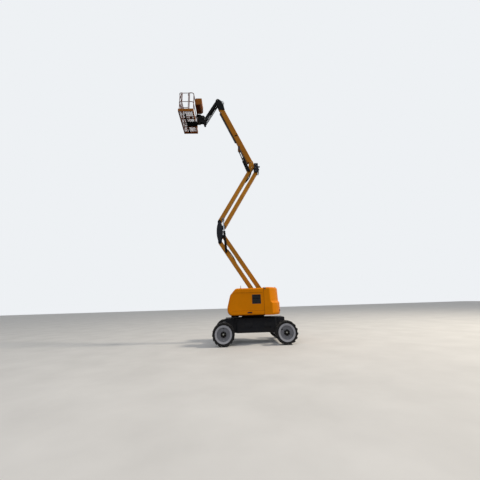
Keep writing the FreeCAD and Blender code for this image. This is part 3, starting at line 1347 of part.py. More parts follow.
def plate_across(name, corners, near, thickness):
    body = doc.addObject("PartDesign::Body", name)
    sketch = new_sketch(body, "XZ_Plane", f"-({near})")
    draw_outline(sketch, corners)
    item = pad(body, sketch, thickness, True)
    along = Vector(0, 1, 0)
    spots = [(size(x), size(z)) for x, z in corners]
    round_edges(body, item, lambda e: any(upright(e, along, x, z) for x, z in spots), "24")
    return body


def rail_pieces(edge, far, half):
    """Top and middle rails round the platform, with posts, open at the gate."""
    inset = "(rail_radius + toe_wall + seat_gap)"
    x0, x1 = f"{edge} + {inset}", f"{far} - {inset}"
    y0, y1 = f"-{half} + {inset}", f"{half} - {inset}"
    start = f"{edge} + gate_start"
    pieces = []
    for level, height in (("top", "rail_height"), ("mid", "mid_rail_height")):
        z = f"-floor_drop + {height}"
        runs = (
            ("rear", "Y", (x0, z), (f"{y0} + rail_round", f"{y1} - rail_round")),
            ("fore", "Y", (x1, z), (f"{y0} + rail_round", f"{y1} - rail_round")),
            ("far", "X", (y0, z), (f"{x0} + rail_round", f"{x1} - rail_round")),
            ("near_a", "X", (y1, z), (f"{x0} + rail_round", f"{start} + rail_radius")),
            ("near_b", "X", (y1, z), (f"{start} + gate_width - rail_radius",
                                      f"{x1} - rail_round")),
        )
        for name, axis, centre, span in runs:
            pieces.append(drum(f"{level}_{name}", axis, centre, span, "rail_radius"))
        bends = (
            ("a", f"{x0} + rail_round", f"{y0} + rail_round", 180),
            ("b", f"{x1} - rail_round", f"{y0} + rail_round", 270),
            ("c", f"{x1} - rail_round", f"{y1} - rail_round", 0),
            ("d", f"{x0} + rail_round", f"{y1} - rail_round", 90),
        )
        for name, x, y, turn in bends:
            bend = doc.addObject("Part::Torus", f"{level}_bend_{name}")
            bind(bend, Radius1="rail_round", Radius2="rail_radius", Angle3="90")
            bend.Placement.Rotation = FreeCAD.Rotation(Vector(0, 0, 1), turn)
            bind(bend, Placement__Base__x=x, Placement__Base__y=y, Placement__Base__z=z)
            pieces.append(bend)
    off = "(rail_round + post_setback)"
    posts = [
        (f"{x0} + {off}", y0), (f"{x1} - {off}", y0), (x0, f"{y0} + {off}"), (x1, f"{y0} + {off}"),
        (x0, f"{y1} - {off}"), (x1, f"{y1} - {off}"), (x1, "0"),
        (start, y1), (f"{start} + gate_width", y1),
    ]
    for i, (x, y) in enumerate(posts):
        pieces.append(drum(f"post_{i}", "Z", (x, y), ("-floor_drop", "-floor_drop + rail_height"),
                           "post_radius"))
    return pieces


HINGES = ("-hood_back + 120", "hood_brow_x - 330")

chassis()
axles()
wheels()
turntable()
hoods()
riser()
main_boom()
jib()
platform()
doc.recompute()

failed = [o.Name for o in doc.Objects if "Invalid" in o.State or "Error" in o.State]
bad = [n for n, o in nodes.items() if o.Shape.isNull() or not o.Shape.isValid()]
if failed or bad:
    raise SystemExit(f"objects that failed: {failed}; shapes that failed: {bad}")

os.makedirs("parts", exist_ok=True)
for node, item in nodes.items():
    item.Shape.exportStep(f"parts/{node}.step")

for name, point in (
    ("lower arm foot", arm_foot), ("lower link foot", link_foot), ("lower arm top", arm_top),
    ("lower link top", link_top), ("upper arm foot", upper_foot),
    ("upper link foot", upper_link_foot), ("upper arm top", upper_top),
    ("upper link top", upper_link_top), ("boom foot", boom_foot), ("jib foot", jib_foot),
    ("levelling rod foot", level_foot), ("jib top", jib_top), ("levelling rod top", level_top),
    ("riser cylinder foot", riser_cyl_foot), ("riser cylinder head", riser_cyl_head),
    ("lift cylinder foot", lift_cyl_foot), ("lift cylinder head", lift_cyl_head),
    ("rotator", rotator),
):
    print(f"{name}: x {point[0]:.3f} z {point[1]:.3f}")
print(len(nodes), "sub-parts")
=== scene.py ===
# %% [markdown]
# # An articulating boom lift, dressed
#
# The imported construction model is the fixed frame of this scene. Everything here is in metres and
# in the same frame: X points forward to the platform, Y to the machine's left, Z up. The camera
# stands where the photograph's did, beside the machine and looking up along its booms.

import json
import math

import bmesh
import bpy
from mathutils import Matrix, Vector


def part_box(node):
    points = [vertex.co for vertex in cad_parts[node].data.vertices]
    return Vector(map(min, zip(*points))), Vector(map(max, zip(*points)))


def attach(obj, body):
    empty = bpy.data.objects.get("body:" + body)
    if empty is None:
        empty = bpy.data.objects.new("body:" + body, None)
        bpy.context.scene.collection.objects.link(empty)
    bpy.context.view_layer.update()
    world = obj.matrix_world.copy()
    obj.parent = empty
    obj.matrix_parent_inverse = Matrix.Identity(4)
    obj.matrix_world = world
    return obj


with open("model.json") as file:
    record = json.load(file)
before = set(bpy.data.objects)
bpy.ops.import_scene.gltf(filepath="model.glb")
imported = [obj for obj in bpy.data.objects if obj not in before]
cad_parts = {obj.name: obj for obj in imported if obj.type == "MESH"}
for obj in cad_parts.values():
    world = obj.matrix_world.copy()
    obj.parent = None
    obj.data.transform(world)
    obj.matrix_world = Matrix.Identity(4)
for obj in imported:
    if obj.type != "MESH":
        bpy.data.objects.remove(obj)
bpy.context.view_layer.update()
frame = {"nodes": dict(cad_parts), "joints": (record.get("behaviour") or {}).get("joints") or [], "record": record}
record = frame["record"]
nodes = frame["nodes"]
print(len(nodes), "nodes")

# %% [markdown]
# ## Camera
#
# The camera stands 11.7 m to the machine's left at eye height, pitched up 18.7 degrees and rolled
# a little. The photograph's optical axis passes above the middle of the frame, so the lens is
# shifted down by that much.

# %% Camera
EYE = Vector((0.797, 11.66, 1.55))
HEADING = Vector((-0.0332, -0.9995, 0.0)).normalized()
PITCH = math.radians(18.7)
ROLL = math.radians(1.74)
FOCAL_PX = 262
FRAME_PX = 480

forward = HEADING * math.cos(PITCH) + Vector((0, 0, math.sin(PITCH)))
level_right = forward.cross(Vector((0, 0, 1))).normalized()
level_up = level_right.cross(forward)
right = level_right * math.cos(ROLL) - level_up * math.sin(ROLL)
up = level_up * math.cos(ROLL) + level_right * math.sin(ROLL)

camera_data = bpy.data.cameras.new("camera")
camera_data.sensor_width = 36
camera_data.lens = FOCAL_PX / FRAME_PX * 36
camera_data.shift_y = -27 / FRAME_PX
camera_data.clip_end = 200
camera = bpy.data.objects.new("camera", camera_data)
bpy.context.scene.collection.objects.link(camera)
axes = Matrix((right, up, -forward)).transposed()
camera.matrix_world = Matrix.Translation(EYE) @ axes.to_4x4()
bpy.context.scene.camera = camera
print("lens", round(camera_data.lens, 2), "mm")

# %% [markdown]
# ## Colours and node helpers
#
# Colours are written as they look on a screen, in sRGB, and are turned into linear light by one
# function. Another adds a shader node: each of its sockets takes a plain value or the output of
# an earlier node, so a finish reads as a short list of steps. The scale of a noise is in features
# per metre, so 330 gives grains of 3 mm.


# %% Helpers
COLOUR = {"data_type": "RGBA"}
MULTIPLY, MAXIMUM = {"operation": "MULTIPLY"}, {"operation": "MAXIMUM"}


def linear(code):
    """The linear RGBA of an sRGB hex code."""
    parts = [int(code[i:i + 2], 16) / 255 for i in (1, 3, 5)]
    return (*(p / 12.92 if p <= 0.04045 else ((p + 0.055) / 1.055) ** 2.4 for p in parts), 1)


def tinted(colour, factor, lift=0.0):
    """A linear colour made darker or paler."""
    return (*(min(1, c * factor + lift) for c in colour[:3]), 1)


def fill(tree, node, **sockets):
    """Gives sockets their values or links. _6 is the socket with that number."""
    for name, value in sockets.items():
        socket = node.inputs[int(name[1:]) if name[0] == "_" else name.replace("_", " ")]
        if isinstance(value, bpy.types.NodeSocket):
            tree.links.new(value, socket)
        else:
            socket.default_value = value


def add(tree, kind, out=0, settings=None, **sockets):
    """Adds a shader node with its settings and sockets, and gives back one of its outputs."""
    node = tree.nodes.new("ShaderNode" + kind)
    for name, value in (settings or {}).items():
        setattr(node, name, value)
    fill(tree, node, **sockets)
    return node.outputs[out]


def mottle(tree, where, scale, detail, low, high, dark=0.0, bright=1.0, fine=0.5):
    """A pattern of soft patches: what lies between low and high runs from dark to bright."""
    cloud = add(tree, "TexNoise", Vector=where, Scale=scale, Detail=detail, Roughness=fine)
    return add(tree, "MapRange", Value=cloud, From_Min=low, From_Max=high,
               To_Min=dark, To_Max=bright)


def grain(tree, where, scale, detail, depth, strength):
    """A fine bump of noise, with its depth in metres."""
    height = add(tree, "TexNoise", Vector=where, Scale=scale, Detail=detail)
    return add(tree, "Bump", Height=height, Distance=depth, Strength=strength)


def new_material(name):
    """A material, its node tree, its shader and the surface's place in the part's own axes."""
    material = bpy.data.materials.new(name)
    material.use_nodes = True
    tree = material.node_tree
    return material, tree, tree.nodes["Principled BSDF"], add(tree, "TexCoord", "Object")


print("helpers ready")

# %% [markdown]
# ## Shape helpers
#
# A Shape gathers many small parts, such as a row of bolts, into one mesh. Each part is made in the
# axes of a place matrix, so bolts and pipes can be laid out along a boom as they are on the bench.


# %% Shapes
def place(origin, turn=0.0, about="Y"):
    """Axes at a point. A boom's own axes run X along it and Z to its upper side."""
    origin = Vector(origin)
    return Matrix.Translation(origin) @ Matrix.Rotation(math.radians(turn), 4, about)


def facing(origin, direction):
    """Axes at a point with Z along a direction."""
    turn = Vector(direction).normalized().to_track_quat("Z", "Y")
    return Matrix.Translation(Vector(origin)) @ turn.to_matrix().to_4x4()


def shifted(at, x=0, y=0, z=0):
    """Axes moved along themselves."""
    return at @ Matrix.Translation((x, y, z))


def smooth_path(points, steps=8):
    """A Catmull-Rom line through the points."""
    pts = [Vector(p) for p in points]
    pts = [pts[0] * 2 - pts[1]] + pts + [pts[-1] * 2 - pts[-2]]
    line = []
    for a, b, c, d in zip(pts, pts[1:], pts[2:], pts[3:]):
        for k in range(steps):
            t = k / steps
            line.append(0.5 * (2 * b + (c - a) * t + (2 * a - 5 * b + 4 * c - d) * t * t
                               + (3 * b - a - 3 * c + d) * t * t * t))
    return line + [pts[-2]]


class Shape:
    """Gathers parts into one mesh."""

    def __init__(self):
        self.mesh = bmesh.new()

    def slab(self, low, high, at=Matrix(), bevel=0.002):
        """A block between two corners with its edges eased."""
        low, high = Vector(low), Vector(high)
        part = bmesh.new()
        bmesh.ops.create_cube(part, size=1)
        middle, span = (low + high) / 2, high - low
        for vert in part.verts:
            vert.co = Vector((vert.co.x * span.x, vert.co.y * span.y, vert.co.z * span.z)) + middle
        bmesh.ops.bevel(part, geom=list(part.edges), offset=min(bevel, min(span) * 0.4),
                        segments=2, profile=0.5, affect="EDGES", clamp_overlap=True)
        return self.take(part, at)

    def side_slab(self, sign, x, y, z, at=Matrix(), bevel=0.002):
        """A block between two x's, two distances from the middle plane and two z's."""
        near, far = sorted((sign * y[0], sign * y[1]))
        return self.slab((x[0], near, z[0]), (x[1], far, z[1]), at, bevel)

    def take(self, part, at=Matrix()):
        """Adds another mesh's faces at a place."""
        new = [self.mesh.verts.new(at @ v.co) for v in part.verts]
        part.verts.index_update()
        for face in part.faces:
            self.mesh.faces.new([new[v.index] for v in face.verts])
        part.free()
        self.mesh.verts.index_update()
        return self

    def sheet(self, corners, low, high, at=Matrix(), bevel=0.002):
        """A plate of an outline in the place's XZ plane, between two values of Y."""
        part = bmesh.new()
        base = [part.verts.new((x, low, z)) for x, z in corners]
        top = [part.verts.new((x, high, z)) for x, z in corners]
        part.faces.new(base)
        part.faces.new(top[::-1])
        for k in range(len(corners)):
            n = (k + 1) % len(corners)
            part.faces.new((base[k], top[k], top[n], base[n]))
        if bevel:
            bmesh.ops.bevel(part, geom=list(part.edges), offset=bevel, segments=1, profile=0.5,
                            affect="EDGES", clamp_overlap=True)
        return self.take(part, at)

    def lathe(self, profile, at=Matrix(), steps=28, close=False):
        """Turns (radius, height) points round the place's Z axis."""
        rings = []
        for radius, height in profile:
            count = 1 if radius < 1e-6 else steps
            turns = [2 * math.pi * k / count for k in range(count)]
            rings.append([self.mesh.verts.new(at @ Vector((radius * math.cos(turn),
                                                           radius * math.sin(turn), height)))
                          for turn in turns])
        pairs = list(zip(rings, rings[1:])) + ([(rings[-1], rings[0])] if close else [])
        for a, b in pairs:
            for k in range(steps):
                n = (k + 1) % steps
                corners = [a[k % len(a)], a[n % len(a)], b[n % len(b)], b[k % len(b)]]
                corners = [v for i, v in enumerate(corners) if v not in corners[:i]]
                if len(corners) > 2:
                    self.mesh.faces.new(corners)
        self.mesh.verts.index_update()
        return self

    def pipe(self, points, radius, at=Matrix(), sides=10, steps=8, smooth=True):
        """A round pipe along a line, with closed ends."""
        line = [at @ Vector(p) for p in (smooth_path(points, steps) if smooth else points)]
        side = (line[1] - line[0]).orthogonal().normalized()
        rings = []
        for k, point in enumerate(line):
            ahead = (line[min(k + 1, len(line) - 1)] - line[max(k - 1, 0)]).normalized()
            side = (side - ahead * side.dot(ahead)).normalized()
            across = ahead.cross(side)
            turns = [2 * math.pi * i / sides for i in range(sides)]
            rings.append([self.mesh.verts.new(point + radius * (side * math.cos(turn)
                                                                + across * math.sin(turn)))
                          for turn in turns])
        for a, b in zip(rings, rings[1:]):
            for i in range(sides):
                j = (i + 1) % sides
                self.mesh.faces.new((a[i], a[j], b[j], b[i]))
        self.mesh.faces.new(rings[0][::-1])
        self.mesh.faces.new(rings[-1])
        self.mesh.verts.index_update()
        return self

    def bolt(self, at, across=0.018, washer=True):
        """A hexagon head on its washer, standing on the place's XY plane."""
        r = across / 2 / math.cos(math.pi / 6)
        tall = across * 0.62
        base = across * 0.12 if washer else 0
        if washer:
            self.lathe([(r * 1.32, -0.0005), (r * 1.32, base), (0, base)], at, 16)
        self.lathe([(r, base - 0.0005), (r, base + tall * 0.86), (r * 0.86, base + tall),
                    (0, base + tall)], at, 6)
        return self

    def ring_of_bolts(self, at, radius, count, across=0.018, start=0.0):
        """Bolts on a circle, each turned a little further than the last."""
        for k in range(count):
            turn = math.radians(start) + 2 * math.pi * k / count
            spot = shifted(at, radius * math.cos(turn), radius * math.sin(turn))
            self.bolt(spot @ Matrix.Rotation(k * 0.7, 4, "Z"), across)
        return self

    def piece(self, name, material, body, slot, angle=35):
        """Makes the object, finished and riding on its body."""
        bmesh.ops.recalc_face_normals(self.mesh, faces=list(self.mesh.faces))
        data = bpy.data.meshes.new(name)
        self.mesh.to_mesh(data)
        self.mesh.free()
        for face in data.polygons:
            face.use_smooth = True
        data.set_sharp_from_angle(angle=math.radians(angle))
        data.materials.append(material)
        item = bpy.data.objects.new(name, data)
        bpy.context.scene.collection.objects.link(item)
        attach(item, body)
        made.append((name, len(data.polygons)))
        return item


made = []
print("shapes ready")

# %% [markdown]
# ## Painted metal
#
# Two-pack enamel on welded plate gives an even, soft gloss. The colour drifts a little over
# 0.8 m, an orange peel of about 3 mm sits in the gloss, rain has left faint streaks 0.1 m wide,
# road dust gathers below 1.3 m and on faces that look up, and faces that look down are darkened
# as painted shade.


# %% Paint
RAIN_DIRT = linear("#3B3226")
ROAD_DUST = linear("#8B7D66")
# Painted shade: the share of each channel that faces looking down keep.
UNDERSIDE_SHADE_TINT = (0.30, 0.16, 0.30)


def paint(name, colour, gloss, dust, drift, streaks, shine, under=0.45):
    """Enamel: gloss is its roughness, under is how far painted shade darkens faces that look down, and the rest
    say how much of each wear shows.
    """
    material, tree, shader, where = new_material(name)
    base = linear(colour)
    patch = mottle(tree, where, 1.3, 4, 0.35, 0.65, fine=0.6)
    body = add(tree, "Mix", 2, COLOUR, _0=patch, _6=tinted(base, 1 - drift * 1.6),
               _7=tinted(base, 1 + drift))
    tall = add(tree, "Mapping", Vector=where, Scale=(1, 1, 0.06))
    streak = mottle(tree, tall, 9, 3, 0.48, 0.72, 0, streaks, 0.55)
    body = add(tree, "Mix", 2, COLOUR, _0=streak, _6=body, _7=RAIN_DIRT)

    height = add(tree, "SeparateXYZ", "Z", Vector=where)
    low = add(tree, "MapRange", Value=height, From_Min=1.3, From_Max=0.1)
    slope = add(tree, "SeparateXYZ", "Z", Vector=add(tree, "NewGeometry", "Normal"))
    upward = add(tree, "MapRange", Value=slope, From_Min=0.4, From_Max=1, To_Max=0.5)
    grime = add(tree, "Math", 0, MAXIMUM, _0=low, _1=upward)
    cloud = mottle(tree, where, 6, 5, 0.35, 0.7, 0.2, 1, 0.6)
    amount = add(tree, "Math", 0, MULTIPLY, _0=grime, _1=cloud)
    amount = add(tree, "Math", 0, MULTIPLY, _0=amount, _1=dust)
    body = add(tree, "Mix", 2, COLOUR, _0=amount, _6=body, _7=ROAD_DUST)
    # Painted shade: faces that look down turn towards a dim copy of the base colour.
    underside_shade = add(tree, "MapRange", Value=slope, From_Min=-0.35, From_Max=-0.85, To_Max=under)
    underside_shade_colour = (*(c * k for c, k in zip(base, UNDERSIDE_SHADE_TINT)), 1)
    body = add(tree, "Mix", 2, COLOUR, _0=underside_shade, _6=body, _7=underside_shade_colour)

    fill(tree, shader, Base_Color=body, Specular_IOR_Level=shine,
         Roughness=mottle(tree, where, 25, 3, 0.3, 0.7, gloss - 0.05, gloss + 0.10),
         Normal=grain(tree, where, 330, 2, 0.0004, 0.35))
    return material


# The hoods are coloured gelcoat on moulded fibreglass, flatter and cleaner than the enamel.
yellow = paint("golden_gelcoat", "#FA9300", 0.44, 0.06, 0.05, 0.03, 0.07)
# Enamel on the arms and links, boom, toe boards and rails, in darker copies of one paint as painted shade where
# the steel stands against the light.
shaded_ochre = paint("golden_enamel_painted_shade", "#C37E08", 0.45, 0.05, 0.08, 0.08, 0.20, 0.6)
boom_shaded_paint = paint("boom_enamel_painted_shade", "#AC6C0A", 0.48, 0.05, 0.08, 0.10, 0.16, 0.65)
toe_shaded_paint = paint("toe_board_enamel_painted_shade", "#98580A", 0.48, 0.05, 0.10, 0.12, 0.14, 0.7)
rail_shaded_paint = paint("rail_enamel_painted_shade", "#66290C", 0.50, 0.02, 0.12, 0.10, 0.15, 0.4)
mesh_steel = paint("expanded_sheet_enamel", "#A2541C", 0.55, 0.10, 0.15, 0.1, 0.15, 0.3)
# Sealant is softer than enamel and swallows more light. The same dark colour draws beads that are painted shade
# along the hood panels' creases.
seam_and_crease_shade = paint("seam_sealant_and_crease_shade", "#A45F04", 0.55, 0.05, 0.10, 0.10, 0.15)
# Satin chassis and cover paints, bluish beside the black of brackets and barrels.
charcoal = paint("charcoal_enamel", "#1F2127", 0.55, 0.10, 0.12, 0.03, 0.15)
cover_paint = paint("slate_cover_enamel", "#22242B", 0.50, 0.08, 0.12, 0.03, 0.15)
black = paint("black_enamel", "#070709", 0.55, 0.03, 0.15, 0.01, 0.10)
rim_grey = paint("wheel_enamel", "#8B8B90", 0.45, 0.10, 0.10, 0.03, 0.25)
casting = paint("engine_casting", "#4A4B4D", 0.55, 0.30, 0.15, 0.05, 0.2)
print("paints ready")

# %% [markdown]
# ## Chrome, steel and wheel paint
#
# Cylinder rods are ground and hard-chromed: a mirror with a grain of 1 to 2 mm, drawn coarser than
# the real one so that it shows, and black paint on the eye. The rods' grey is darker than real
# chrome, as painted shade for the dark parts they reflect, and the lift rods are drawn satin
# black-grey as painted shade. Bolts are zinc-plated, dull, with a few rusty patches. The rims are
# sprayed grey with a dark hub and a paler ring at the flange, a painted highlight where light
# catches the rim's cone and lip, so their colour follows the distance from the axle.


# %% Metals
RUST = linear("#6B4A2C")


def around(tree, where, centre):
    """The distance from an axle that runs along Y through the centre."""
    away = add(tree, "VectorMath", 0, {"operation": "SUBTRACT"}, _0=where, _1=centre)
    flat = add(tree, "VectorMath", 0, MULTIPLY, _0=away, _1=(1, 0, 1))
    return add(tree, "VectorMath", "Value", {"operation": "LENGTH"}, _0=flat)


def rod_chrome(name, eye=None, reach=0.085):
    """Ground chrome. Within reach of the eye's axis the rod is painted black."""
    material, tree, shader, where = new_material(name)
    tint = mottle(tree, where, 60, 2, 0.3, 0.7)
    # Painted shade: the rod's grey is darker than real chrome, for the dark parts it reflects.
    body = add(tree, "Mix", 2, COLOUR, _0=tint, _6=linear("#7D8085"), _7=linear("#A4A7AB"))
    metal = 1
    if eye:
        metal = add(tree, "MapRange", Value=around(tree, where, eye),
                    From_Min=reach - 0.003, From_Max=reach + 0.003)
        body = add(tree, "Mix", 2, COLOUR, _0=metal, _6=linear("#08080A"), _7=body)
    fill(tree, shader, Base_Color=body, Metallic=metal,
         Roughness=mottle(tree, where, 900, 2, 0.3, 0.7, 0.10, 0.22),
         Normal=grain(tree, where, 500, 2, 0.0001, 0.2))
    return material


def shaded_rod_metal(name):
    """A satin black-grey metal, painted shade for chrome rods that stand in shade."""
    material, tree, shader, where = new_material(name)
    tint = mottle(tree, where, 45, 3, 0.3, 0.7)
    body = add(tree, "Mix", 2, COLOUR, _0=tint, _6=linear("#1A1B1E"), _7=linear("#2C2D31"))
    fill(tree, shader, Base_Color=body, Metallic=0.7,
         Roughness=add(tree, "MapRange", Value=tint, To_Min=0.34, To_Max=0.46),
         Normal=grain(tree, where, 500, 2, 0.0001, 0.2))
    return material


def steel(name, colour, rough, rust):
    """Machined or zinc-plated steel, with rust in patches about 0.2 m apart."""
    material, tree, shader, where = new_material(name)
    patch = mottle(tree, where, 5, 5, 0.45, 0.75, 0, rust, 0.65)
    tint = mottle(tree, where, 90, 3, 0.3, 0.7)
    body = add(tree, "Mix", 2, COLOUR, _0=tint, _6=tinted(linear(colour), 0.75), _7=linear(colour))
    body = add(tree, "Mix", 2, COLOUR, _0=patch, _6=body, _7=RUST)
    fill(tree, shader, Base_Color=body, Metallic=0.85,
         Roughness=add(tree, "MapRange", Value=tint, To_Min=rough, To_Max=rough + 0.15),
         Normal=grain(tree, where, 260, 3, 0.0004, 0.3))
    return material


def wheel_enamel(name, centre):
    """Grey wheel paint with a dark planetary hub and a paler ring at the flange as painted highlight."""
    material, tree, shader, where = new_material(name)
    radius = around(tree, where, centre)
    cloud = mottle(tree, where, 14, 5, 0.35, 0.7, fine=0.6)
    disc = add(tree, "Mix", 2, COLOUR, _0=cloud, _6=linear("#818187"), _7=linear("#8F8F95"))
    # Painted highlight: the paler grey beyond 0.25 m from the axle stands for light on the rim's cone and lip.
    rim = add(tree, "Mix", 2, COLOUR, _0=cloud, _6=linear("#B4B4BA"), _7=linear("#C4C4CA"))
    flange = add(tree, "MapRange", Value=radius, From_Min=0.244, From_Max=0.250)
    body = add(tree, "Mix", 2, COLOUR, _0=flange, _6=disc, _7=rim)
    hub = add(tree, "MapRange", Value=radius, From_Min=0.108, From_Max=0.112, To_Min=1, To_Max=0)
    body = add(tree, "Mix", 2, COLOUR, _0=hub, _6=body, _7=linear("#0B0B0D"))
    splash = mottle(tree, where, 30, 4, 0.58, 0.78, 0, 0.22, 0.7)
    body = add(tree, "Mix", 2, COLOUR, _0=splash, _6=body, _7=linear("#6E624F"))
    fill(tree, shader, Base_Color=body,
         Roughness=add(tree, "MapRange", Value=cloud, To_Min=0.42, To_Max=0.58),
         Normal=grain(tree, where, 300, 2, 0.0004, 0.3))
    return material


RISER_ROD_EYE = (1.210, 0.0, 5.168)
chrome = rod_chrome("ground_chrome")
eyed_rod = rod_chrome("ground_chrome_with_painted_eye", RISER_ROD_EYE)
# Painted shade: the lift cylinders' chrome rods are drawn satin black-grey.
lift_rod_shade = shaded_rod_metal("lift_rod_painted_shade")
bare = steel("machined_steel", "#9A9A98", 0.35, 0.05)
zinc = steel("zinc_plated_steel", "#A7A79D", 0.32, 0.10)
print("metals ready")

# %% [markdown]
# ## Rubber and plastic
#
# Tyres are moulded black rubber, dull, with dust in their grain of 5 mm. The vents, switches and
# caps are moulded plastic with a sandblasted grain of about 1 mm, and the hoses have a rubber
# cover with the print of its wrapping, about 2 mm.


# %% Rubber and plastic
def rubber(name):
    """Tyre rubber."""
    material, tree, shader, where = new_material(name)
    pores = add(tree, "TexNoise", Vector=where, Scale=180, Detail=4, Roughness=0.65)
    tint = add(tree, "MapRange", Value=pores, From_Min=0.3, From_Max=0.7)
    body = add(tree, "Mix", 2, COLOUR, _0=tint, _6=linear("#101012"), _7=linear("#1B1B1D"))
    cloud = mottle(tree, where, 7, 5, 0.4, 0.72, 0, 0.14, 0.6)
    body = add(tree, "Mix", 2, COLOUR, _0=cloud, _6=body, _7=linear("#6E6557"))
    fill(tree, shader, Base_Color=body,
         Roughness=add(tree, "MapRange", Value=tint, To_Min=0.72, To_Max=0.9),
         Normal=add(tree, "Bump", Height=pores, Distance=0.0012, Strength=0.5))
    return material


def plastic(name, colour, rough, grain_mm):
    """Moulded plastic, a little paler in wide patches."""
    material, tree, shader, where = new_material(name)
    wide = mottle(tree, where, 4, 4, 0.35, 0.7)
    base = linear(colour)
    body = add(tree, "Mix", 2, COLOUR, _0=wide, _6=base, _7=tinted(base, 1.35, 0.006))
    fill(tree, shader, Base_Color=body,
         Roughness=add(tree, "MapRange", Value=wide, To_Min=rough, To_Max=rough + 0.12),
         Normal=grain(tree, where, 1000 / grain_mm, 2, 0.0003, 0.4))
    return material


tyre_rubber = rubber("tyre_rubber")
hose_rubber = plastic("hydraulic_hose", "#0E0E0F", 0.5, 2.0)
grey_plastic = plastic("vent_plastic", "#0C0C0D", 0.55, 1.2)
white_plastic = plastic("white_plastic", "#D8D6CE", 0.4, 0.8)
red_plastic = plastic("red_plastic", "#A3130E", 0.35, 0.8)
dark_red = plastic("maroon_plastic", "#45160F", 0.5, 0.9)
print("rubber and plastic ready")

# %% [markdown]
# ## Dress the construction model
#
# Each node takes the finish of its slot in the record. The arms, rails, toe boards, covers and
# some rods have a finish of their own: the arms, boom, rails and toe boards take darker copies of
# the enamel as painted shade, and the lift rods a dark metal as painted shade. Each rim's paint is
# centred on its axle.

# %% Dress
SLOTS = {
    "yellow_paint": yellow,
    "charcoal_paint": charcoal,
    "black_steel": black,
    "engine_grey": casting,
    "chrome_rod": chrome,
    "bare_steel": bare,
    "rim_grey": rim_grey,
    "tyre_rubber": tyre_rubber,
    "black_plastic": grey_plastic,
    "floor_steel": mesh_steel,
}
# Painted shade: the rails, gate, toe boards and console take darker copies of the enamel, and the lift rods a dark
# metal.
SPECIAL = {
    "guard_rails": rail_shaded_paint,
    "platform_gate": rail_shaded_paint,
    "toe_boards": toe_shaded_paint,
    "control_console": toe_shaded_paint,
    "lift_cylinder_rods": lift_rod_shade,
    "riser_cylinder_rods": eyed_rod,
    "middle_cover": cover_paint,
}
# Painted shade: the arms, links, knuckle and boom take darker copies of the enamel.
for arm in ("lower_arm", "lower_link", "upper_arm", "upper_link", "upper_knuckle"):
    SPECIAL[arm] = shaded_ochre
for tube in ("boom_outer", "boom_extension"):
    SPECIAL[tube] = boom_shaded_paint
for entry in record["subparts"]:
    node = nodes[entry["node"]]
    finish = SLOTS[entry["material_slot"]]
    if entry["node"].endswith("_rim"):
        low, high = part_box(entry["node"])
        axle = (Vector(low) + Vector(high)) / 2
        finish = wheel_enamel("wheel_enamel_" + entry["node"].removesuffix("_rim"), axle)
    finish = SPECIAL.get(entry["node"], finish)
    node.data.materials.clear()
    node.data.materials.append(finish)
print("dressed", len(record["subparts"]), "nodes")

# %% [markdown]
# ## Where the parts turn
#
# Each joint's place comes from the record. The arms' own axes are set up here once: X runs along
# the arm from its foot, and Z points to its upper side.

# %% Pivots
joints = {joint["name"]: joint for joint in frame["joints"]}
pivot = {name: Vector(joint["pos_m"]) for name, joint in joints.items() if "pos_m" in joint}


def arm_axes(start, along):
    """Axes at a pivot in the middle plane with X along an arm."""
    return place(start, -math.degrees(math.atan2(along.z, along.x)))


LOWER = pivot["riser_lift"]
BRACKET = pivot["middle_bracket_turn"]
UPPER = pivot["upper_arm_turn"]
KNUCKLE = pivot["knuckle_turn"]
BOOM = pivot["boom_luff"]
HEAD = pivot["platform_level"]
JIB_END = pivot["rotator_level"]
SWING = pivot["platform_rotate"]
lower_axes = arm_axes(LOWER, BRACKET - LOWER)
upper_axes = arm_axes(UPPER, KNUCKLE - UPPER)
boom_axes = arm_axes(BOOM, HEAD - BOOM)
jib_axes = arm_axes(HEAD, JIB_END - HEAD)
riser_axes, lift_axes = (
    arm_axes(pivot[f"{name}_cylinder_turn"], Vector(joints[f"{name}_cylinder_stroke"]["axis"]))
    for name in ("riser", "lift"))
print("boom foot at", [round(v, 3) for v in BOOM])

# %% [markdown]
# ## Wheels
#
# Nine wheel nuts sit round each planetary hub, whose cover carries six bolts and a bright plug.
# Moulded ribs run round the sidewalls, and each rim has its valve.

